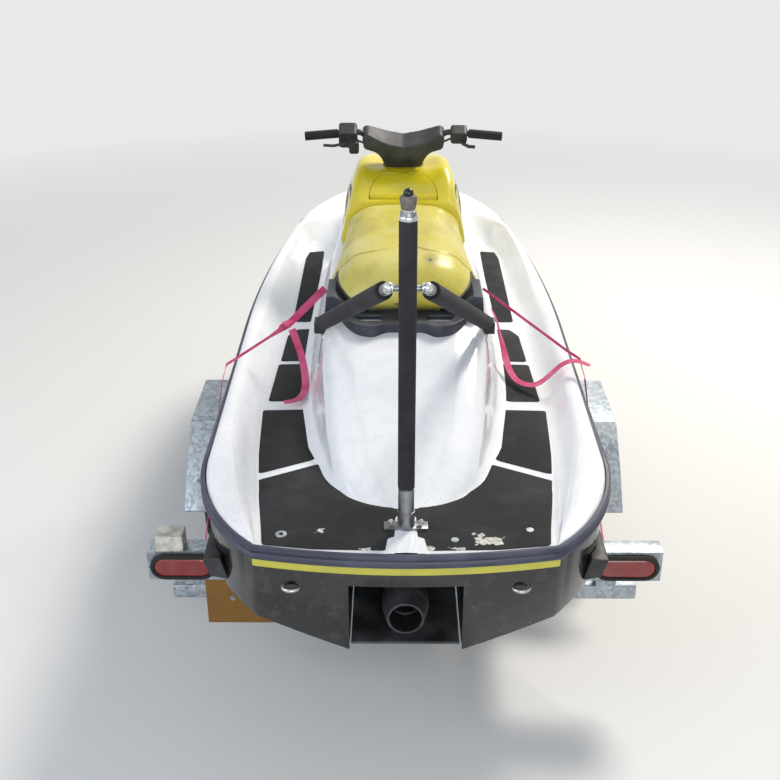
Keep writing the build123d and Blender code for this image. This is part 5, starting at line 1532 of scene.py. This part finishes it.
def fastener_rule(name, material):
    tree, start, out = new_tree(name, {"Head": 0.006, "Height": 0.005, "Washer": 0.009, "Dome": 0.004, "Sides": 6})
    aim = add(tree, "GeometryNodeInputNamedAttribute", {"Name": "aim"}, data_type="FLOAT_VECTOR").outputs[0]
    turn = add(tree, "FunctionNodeAlignRotationToVector", {"Vector": aim}, axis="Z")
    size = start.outputs
    shape = {"Vertices": size["Sides"], "Radius": size["Head"], "Depth": size["Height"]}
    head = add(tree, "GeometryNodeMeshCylinder", shape)
    washer = add(tree, "GeometryNodeMeshCylinder", {"Vertices": 20, "Radius": size["Washer"], "Depth": 0.0024})
    dome = add(tree, "GeometryNodeMeshUVSphere", {"Segments": 12, "Rings": 8, "Radius": size["Dome"]})
    half = add(tree, "ShaderNodeMath", {0: size["Height"], 1: 0.5}, operation="MULTIPLY").outputs[0]
    up = add(tree, "ShaderNodeCombineXYZ", {2: half}).outputs[0]
    top = add(tree, "ShaderNodeCombineXYZ", {2: size["Height"]}).outputs[0]
    whole = add(tree, "GeometryNodeJoinGeometry")
    for part, lift in ((head, up), (dome, top)):
        moved = add(tree, "GeometryNodeTransform", {"Geometry": part.outputs[0], "Translation": lift})
        tree.links.new(moved.outputs[0], whole.inputs[0])
    tree.links.new(washer.outputs[0], whole.inputs[0])
    points = add(tree, "GeometryNodeMeshToPoints", {"Mesh": start.outputs[0]}).outputs[0]
    many = {"Points": points, "Instance": whole.outputs[0], "Rotation": turn.outputs[0]}
    close_tree(tree, add(tree, "GeometryNodeInstanceOnPoints", many).outputs[0], out, material)
    return tree


def fasteners(name, rule, places, sizes, slot, body="craft"):
    """One fastener at each craft place, facing along its axis."""
    mesh = bpy.data.meshes.new(name + "_places")
    mesh.from_pydata([world(place) for place, _ in places], [], [])
    aims = mesh.attributes.new("aim", "FLOAT_VECTOR", "POINT")
    for item, (_, axis) in zip(aims.data, places):
        item.vector = axis
    return grown(name, linked(name + "_places", mesh), rule, sizes, body)


def both_sides(places):
    return places + [((-x, y, z), (-a, b, c)) for (x, y, z), (a, b, c) in places]


zinc_bolt = fastener_rule("zinc plated bolt", zinc)
bright_bolt = fastener_rule("stainless bolt", stainless)
chrome_bolt = fastener_rule("chrome ball nut", chrome)
black_screw = fastener_rule("black plastic screw", black_plastic)

# %% Every fastener on the craft and the trailer
# y and z of the axle, then the three ways that fasteners face
AXLE = (1.215, -0.135)
UP, BACK, OUT = (0, 0, 1), (0, -1, 0), (1, 0, 0)
BIG = {"Head": 0.011, "Height": 0.008, "Washer": 0.016, "Dome": 0.006}
SMALL = {"Head": 0.0055, "Height": 0.004, "Washer": 0.0085, "Dome": 0.003}
BALL_NUT = {"Head": 0.010, "Height": 0.010, "Washer": 0.0135, "Dome": 0.0140, "Sides": 12}
WHEEL_NUT = {"Head": 0.010, "Height": 0.016, "Washer": 0.013, "Dome": 0.007}


def round_axle(x, radius, angle):
    return (x, AXLE[0] + radius * math.cos(angle), AXLE[1] + radius * math.sin(angle))


foot_bolts = [((x, POLE_Y, 0.3745 + 0.0105), UP) for x in (-0.040, 0.040)]
flange_bolts = [((x, 0.5605, z), BACK) for x in (-0.125, 0.125) for z in (0.055, 0.125, 0.215)]
sponson_bolts = both_sides([((0.549, y, 0.234), OUT) for y in (0.19, 0.45, 0.71, 0.86)])
tie_at = ((0.300, 2.456), (0.300, 2.504), (0.062, 2.960), (0.062, 3.000))
tie_bolts = both_sides([((x, y, -0.042), UP) for x, y in tie_at])
fender_bolts = both_sides([((x, AXLE[0] + side * 0.332, 0.049), UP) for x in (0.600, 0.690) for side in (-1, 1)])
coupler_bolts = [((x, y, -0.042), UP) for x in (-0.046, 0.046) for y in (3.200, 3.270)]
lamp_bolts = both_sides([((x, 0.369, z), BACK) for x in (0.570, 0.610) for z in (0.026, 0.100)])
plate_bolts = [((x, 0.3755, -0.060), BACK) for x in (-0.520, -0.320)]
FASTENERS = [
    ("foot_plate_bolts", bright_bolt, foot_bolts, {**SMALL, "Head": 0.0065}, "steel_bright"),
    ("arm_pivot_nuts", chrome_bolt, both_sides([((0.036, 0.128, 1.040), OUT)]), BALL_NUT, "chrome_bolt"),
    ("pump_flange_bolts", bright_bolt, flange_bolts, BIG, "steel_bright"),
    ("sponson_bolts", bright_bolt, sponson_bolts, SMALL, "steel_bright"),
    ("frame_bolts", zinc_bolt, tie_bolts + fender_bolts + coupler_bolts, BIG, "galvanised"),
    ("lamp_and_plate_bolts", zinc_bolt, lamp_bolts + plate_bolts, SMALL, "galvanised"),
]
for side, name, body in ((-1, "wheel_nuts_port", "wheel_left"), (1, "wheel_nuts_starboard", "wheel_right")):
    nuts = [(round_axle(side * 0.6585, 0.050, a), (side, 0, 0)) for a in angles_round(5, 0.5)]
    FASTENERS.append((name, zinc_bolt, nuts, WHEEL_NUT, "galvanised", body))
for row in FASTENERS:
    fasteners(*row)
print("fasteners:", [row[0] for row in FASTENERS])

# %% [markdown]
# ## Road tyres
# A tyre is a casing of rubber on beads of wire. Its tread carries grooves that run round it, and slots across the
# shoulders. The casing is turned from one section, drawn with the grooves in it. A Geometry Nodes rule sets the
# shoulder blocks round the rim, because there are dozens of the same block.

# %% The casing, and the blocks of its shoulders
# x from the middle of the tread, and radius: from one bead to the crown
TYRE_SECTION = [(-0.0500, 0.1500), (-0.0560, 0.1520), (-0.0600, 0.1585), (-0.0650, 0.1660), (-0.0655, 0.1690),
                (-0.0690, 0.1780), (-0.0710, 0.1920), (-0.0722, 0.2060), (-0.0716, 0.2085), (-0.0722, 0.2110),
                (-0.0706, 0.2260), (-0.0670, 0.2390), (-0.0610, 0.2480), (-0.0540, 0.2550), (-0.0440, 0.2600),
                (-0.0390, 0.2612), (-0.0380, 0.2560), (-0.0330, 0.2560), (-0.0320, 0.2625), (-0.0150, 0.2640),
                (-0.0140, 0.2585), (-0.0090, 0.2585), (-0.0080, 0.2645), (0.0, 0.2648)]


def tread_rule(name, material):
    """Blocks round the wheel's axle; each shoulder has Count of them."""
    tree, start, out = new_tree(name, {"Count": 52, "Length": 0.0105, "Width": 0.019, "Height": 0.007})
    size = start.outputs
    shape = add(tree, "ShaderNodeCombineXYZ", {0: size["Width"], 1: size["Length"], 2: size["Height"]}).outputs[0]
    block = add(tree, "GeometryNodeMeshCube", {"Size": shape}).outputs[0]
    ring = add(tree, "GeometryNodeMeshCircle", {"Vertices": size["Count"], "Radius": 0.2535}).outputs[0]
    out_from = add(tree, "GeometryNodeInputPosition").outputs[0]
    aim = {"Vector": out_from}
    turn = add(tree, "FunctionNodeAlignRotationToVector", aim, axis="Z").outputs[0]
    aim = {"Rotation": turn, "Vector": (0, 0, 1)}
    turn = add(tree, "FunctionNodeAlignRotationToVector", aim, axis="X", pivot_axis="Z").outputs[0]
    many = {"Points": ring, "Instance": block, "Rotation": turn}
    many = add(tree, "GeometryNodeInstanceOnPoints", many).outputs[0]
    upright = add(tree, "GeometryNodeTransform", {"Geometry": many, "Rotation": (0, math.pi / 2, 0)}).outputs[0]
    points = add(tree, "GeometryNodeMeshToPoints", {"Mesh": start.outputs[0]}).outputs[0]
    whole = add(tree, "GeometryNodeInstanceOnPoints", {"Points": points, "Instance": upright})
    close_tree(tree, whole.outputs[0], out, material)
    return tree


WHEEL_X, SHOULDER_X, CAP_X = 0.640, 0.0530, 0.6535
# out from the wheel's face, and radius
HUB_CAP = [(0.0, 0.024), (0.010, 0.0265), (0.020, 0.0262), (0.027, 0.0225), (0.030, 0.014), (0.031, 0.0)]
section = TYRE_SECTION + [(-x, r) for x, r in reversed(TYRE_SECTION[:-1])]
tread_blocks = tread_rule("tread blocks", tyre_rubber)
for side, name in ((-1, "left"), (1, "right")):
    rows = [[round_axle(side * WHEEL_X + x, r, a) for x, r in section] for a in angles_round(96)]
    tyre = joined(f"tyre_casing_{name}", *skin(rows + rows[:1], closed=True))
    tyre.data.set_sharp_from_angle(angle=math.radians(35))
    dressed(tyre, f"wheel_{name}", "tyre_rubber", tyre_rubber, f"tyre_{name}")
    mesh = bpy.data.meshes.new("tread_places")
    mesh.from_pydata([world((side * WHEEL_X + x, *AXLE)) for x in (-SHOULDER_X, SHOULDER_X)], [], [])
    places = linked("tread_places", mesh)
    grown(f"tread_blocks_{name}", places, tread_blocks, {"Count": 52}, f"wheel_{name}", 30)
    rows = [[round_axle(side * (CAP_X + x), max(r, 0.0003), a) for a in angles_round(32)] for x, r in HUB_CAP]
    hub = solid(f"hub_cap_{name}", rows, smooth=True)
    hub.data.set_sharp_from_angle(angle=math.radians(38))
    dressed(hub, f"wheel_{name}", "galvanised", zinc)

# %% [markdown]
# ## Arm clamps, the knot and the film on the console
# The clamps hold the arms' feet and end in wire ring pins. The port band is tied off in a knot. The console carries a
# printed film on each side: plain curved strokes, laid on the skin by casting each point of them onto it.

# %% Short clamps and their ring pins
PIN_X, PIN_Y, PIN_Z = 0.262, 0.890, 0.590
RING_R, WIRE_R = 0.014, 0.0016
ring_wire = cord_rule("ring pin", stainless, WIRE_R)
for side, name in ((-1, "ring_pin_port"), (1, "ring_pin_starboard")):
    route = [world((side * PIN_X + side * 0.004 * math.sin(a), PIN_Y + RING_R * math.cos(a),
                    PIN_Z - 0.012 + RING_R * math.sin(a))) for a in angles_round(20, closed=True)]
    grown(name, line_object(name, route), ring_wire, {"Radius": WIRE_R, "Sides": 8}, "craft")

# %% The knot: two and a quarter turns of the same band round the taut one
knot_at = Vector((-0.381, 1.021, 0.566))
route = []
for a in (math.radians(18 * k) for k in range(46)):
    off = (0.012 * math.cos(a) - 0.0016 * a, 0.010 * math.sin(a) - 0.0008 * a, 0.011 * math.sin(a + 0.9))
    route.append(world(knot_at + Vector(off)))
knot = band("strap_knot", route, [(0.7, 0.5, 0.4), (0.6, 0.6, 0.4)], [0.013, 0.018, 0.013])
print("ring pins and", knot.name)

# %% The film's strokes: y, z and width along each, dark or pale
STROKES = [
    ("dark", [(1.690, 0.726, 0.002), (1.735, 0.762, 0.018), (1.800, 0.786, 0.022), (1.855, 0.820, 0.012),
              (1.890, 0.850, 0.001)]),
    ("dark", [(1.700, 0.686, 0.002), (1.760, 0.702, 0.016), (1.835, 0.742, 0.024), (1.900, 0.786, 0.012),
              (1.940, 0.800, 0.001)]),
    ("dark", [(1.712, 0.790, 0.001), (1.748, 0.814, 0.014), (1.795, 0.822, 0.014), (1.830, 0.812, 0.001)]),
    ("dark", [(1.672, 0.648, 0.010), (1.760, 0.648, 0.012), (1.850, 0.646, 0.012), (1.990, 0.640, 0.008)]),
    ("pale", [(1.705, 0.712, 0.001), (1.765, 0.738, 0.007), (1.830, 0.768, 0.009), (1.890, 0.812, 0.001)]),
    ("pale", [(1.725, 0.782, 0.001), (1.780, 0.800, 0.006), (1.840, 0.826, 0.001)]),
]
FILMS = {"dark": (moulded("printed vinyl film, near black", "#1B1D24", "#33363E", 0.35, 3.0, 0.03), "black_plastic"),
         "pale": (moulded("printed vinyl film, white", "#E6E7E8", "#CFD1D3", 0.35, 3.0, 0.03), "gelcoat_white")}
skin_tree = surface_of(bpy.data.objects["console_moulding"])
laid = {"dark": [], "pale": []}
for tone, stroke in STROKES:
    knots, heights, widths = zip(*stroke)
    for side in (-1, 1):
        rows = []
        for y in np.linspace(knots[0], knots[-1], 40):
            z, wide = float(np.interp(y, knots, heights)), float(np.interp(y, knots, widths))
            row = []
            for share in (-0.5, -0.17, 0.17, 0.5):
                start = Vector(world((side * 0.6, y, z + share * wide)))
                hit, normal, _, _ = skin_tree.ray_cast(start, Vector((-side, 0, 0)), 0.58)
                if hit:
                    row.append(hit + normal * 0.0007 - ORIGIN)
            if len(row) == 4:
                rows.append(row)
        if len(rows) > 8:
            laid[tone].append(joined("stroke", *skin(rows)))
for tone, pieces in laid.items():
    film, slot = FILMS[tone]
    dressed(merged(f"console_film_{tone}", pieces), "craft", slot, film)
print("film strokes:", {tone: len(pieces) for tone, pieces in laid.items()})

# %% Rubber grommets round the lamps, and the small rings on the platform
def loose_boxes(node):
    """The bounds of each solid of a CAD node."""
    bm = bmesh.new()
    bm.from_mesh(frame["nodes"][node].data)
    bmesh.ops.remove_doubles(bm, verts=bm.verts, dist=2e-5)
    todo, boxes = set(bm.verts), []
    while todo:
        group, edge = set(), [todo.pop()]
        while edge:
            v = edge.pop()
            group.add(v)
            near = {e.other_vert(v) for e in v.link_edges} & todo
            todo -= near
            edge += list(near)
        boxes.append([[pick(v.co[k] for v in group) for k in range(3)] for pick in (min, max)])
    bm.free()
    return sorted(boxes)


def stadium(x0, x1, z0, z1, inset, y):
    """A long round-ended loop seen from behind."""
    r, mid = (z1 - z0) / 2 - inset, (z0 + z1) / 2
    ends = ((x1 - inset - r, -90), (x0 + inset + r, 90))
    return [Vector((x + r * math.cos(math.radians(a + 15 * k)), y, mid + r * math.sin(math.radians(a + 15 * k))))
            for x, a in ends for k in range(13)]


rims = []
for (x0, y0, z0), (x1, y1, z1) in loose_boxes("tail_lamps"):
    section = [(0.0, y1), (0.0, y0 + 0.002), (0.003, y0 - 0.0015), (0.011, y0 - 0.0015), (0.013, y0 + 0.003),
               (0.013, y1)]
    loops = [[p - ORIGIN for p in stadium(x0, x1, z0, z1, inward, y)] for inward, y in section]
    rims.append(joined("grommet", *skin(loops + loops[:1], closed=True)))
grommets = merged("lamp_grommets", rims)
grommets.data.set_sharp_from_angle(angle=math.radians(40))
dressed(grommets, "craft", "black_plastic", grip_rubber)

ON_MAT = MAT_T + 0.0012
RING = {"Head": 0.010, "Height": 0.0018, "Washer": 0.0155, "Dome": 0.001, "Sides": 24}
PLUG = {"Head": 0.006, "Height": 0.0026, "Washer": 0.0075, "Dome": 0.0035, "Sides": 16}
ring_at = [((-0.327, 0.084, floor_z(0.084) + ON_MAT), UP)]
caps = [((x, y, floor_z(y) + ON_MAT), UP) for x, y in ((0.127, 0.061), (0.327, 0.107))]
fasteners("platform_ring", zinc_bolt, ring_at, RING, "galvanised")
fasteners("platform_ring_plug", black_screw, ring_at, PLUG, "black_plastic")
fasteners("platform_caps", zinc_bolt, caps, {**RING, "Head": 0.007, "Washer": 0.010}, "galvanised")
print("grommets:", len(rims))

# %% [markdown]
# ## Stage and light
# A pale floor, a large soft lamp high in front on the starboard side, a wide fill from the port quarter, a weak lamp
# behind the stern and a low world light. The near floor keeps the shadow. Beyond a few metres the floor glows pale
# for the camera and for reflections, so no grey horizon shows.

# %% Floor, world and lamps


# Metres from the middle
GLOW_FROM, GLOW_TO = 2.2, 6.5


def stage_finish():
    mat, tree, shader, place = start_finish("studio floor", 0.9)
    shader.inputs["Base Color"].default_value = linear("#E9E9E7")
    far = add(tree, "ShaderNodeVectorMath", {0: place}, operation="LENGTH").outputs["Value"]
    rays = add(tree, "ShaderNodeLightPath").outputs
    seen = math_node(tree, "MAXIMUM", rays["Is Camera Ray"], rays["Is Glossy Ray"])
    share = math_node(tree, "MULTIPLY", spread(tree, far, GLOW_FROM, GLOW_TO), seen)
    pale = add(tree, "ShaderNodeEmission", {"Color": linear("#F1F2F3"), "Strength": 0.92})
    both = add(tree, "ShaderNodeMixShader", {0: share, 1: shader.outputs[0], 2: pale.outputs[0]})
    tree.links.new(both.outputs[0], tree.nodes["Material Output"].inputs["Surface"])
    return mat


bpy.ops.mesh.primitive_plane_add(size=60, location=(0, 0, 0))
floor = bpy.context.object
floor.name = "floor"
floor.data.materials.append(stage_finish())

world_data = bpy.data.worlds.new("studio")
scene.world = world_data
world_data.use_nodes = True
tree = world_data.node_tree
back = tree.nodes["Background"]
path = add(tree, "ShaderNodeLightPath")
seen = math_node(tree, "MAXIMUM", path.outputs["Is Camera Ray"],
                 math_node(tree, "MAXIMUM", path.outputs["Is Glossy Ray"], path.outputs["Is Transmission Ray"]))
tree.links.new(mixed(tree, seen, "#DDE3EA", "#F4F5F6"), back.inputs["Color"])
tree.links.new(spread(tree, seen, 0, 1, 0.45, 0.95), back.inputs["Strength"])


def area_lamp(name, place, target, size, power, colour="#FFFFFF"):
    data = bpy.data.lights.new(name, "AREA")
    data.shape = "RECTANGLE"
    data.size, data.size_y = size
    data.energy = power
    data.color = linear(colour)[:3]
    lamp = linked(name, data)
    lamp.location = place
    lamp.rotation_euler = (Vector(target) - Vector(place)).to_track_quat("-Z", "Y").to_euler()


area_lamp("key", (2.6, 2.2, 5.2), (0, -0.3, 0.6), (1.6, 1.6), 330, "#FFF7EC")
area_lamp("fill", (-4.5, -3.5, 3.6), (0, 0, 0.6), (4.0, 3.0), 110, "#EAF1FF")
area_lamp("stern", (0.5, -5.5, 2.2), (0, -1.0, 0.5), (3.0, 2.0), 70)
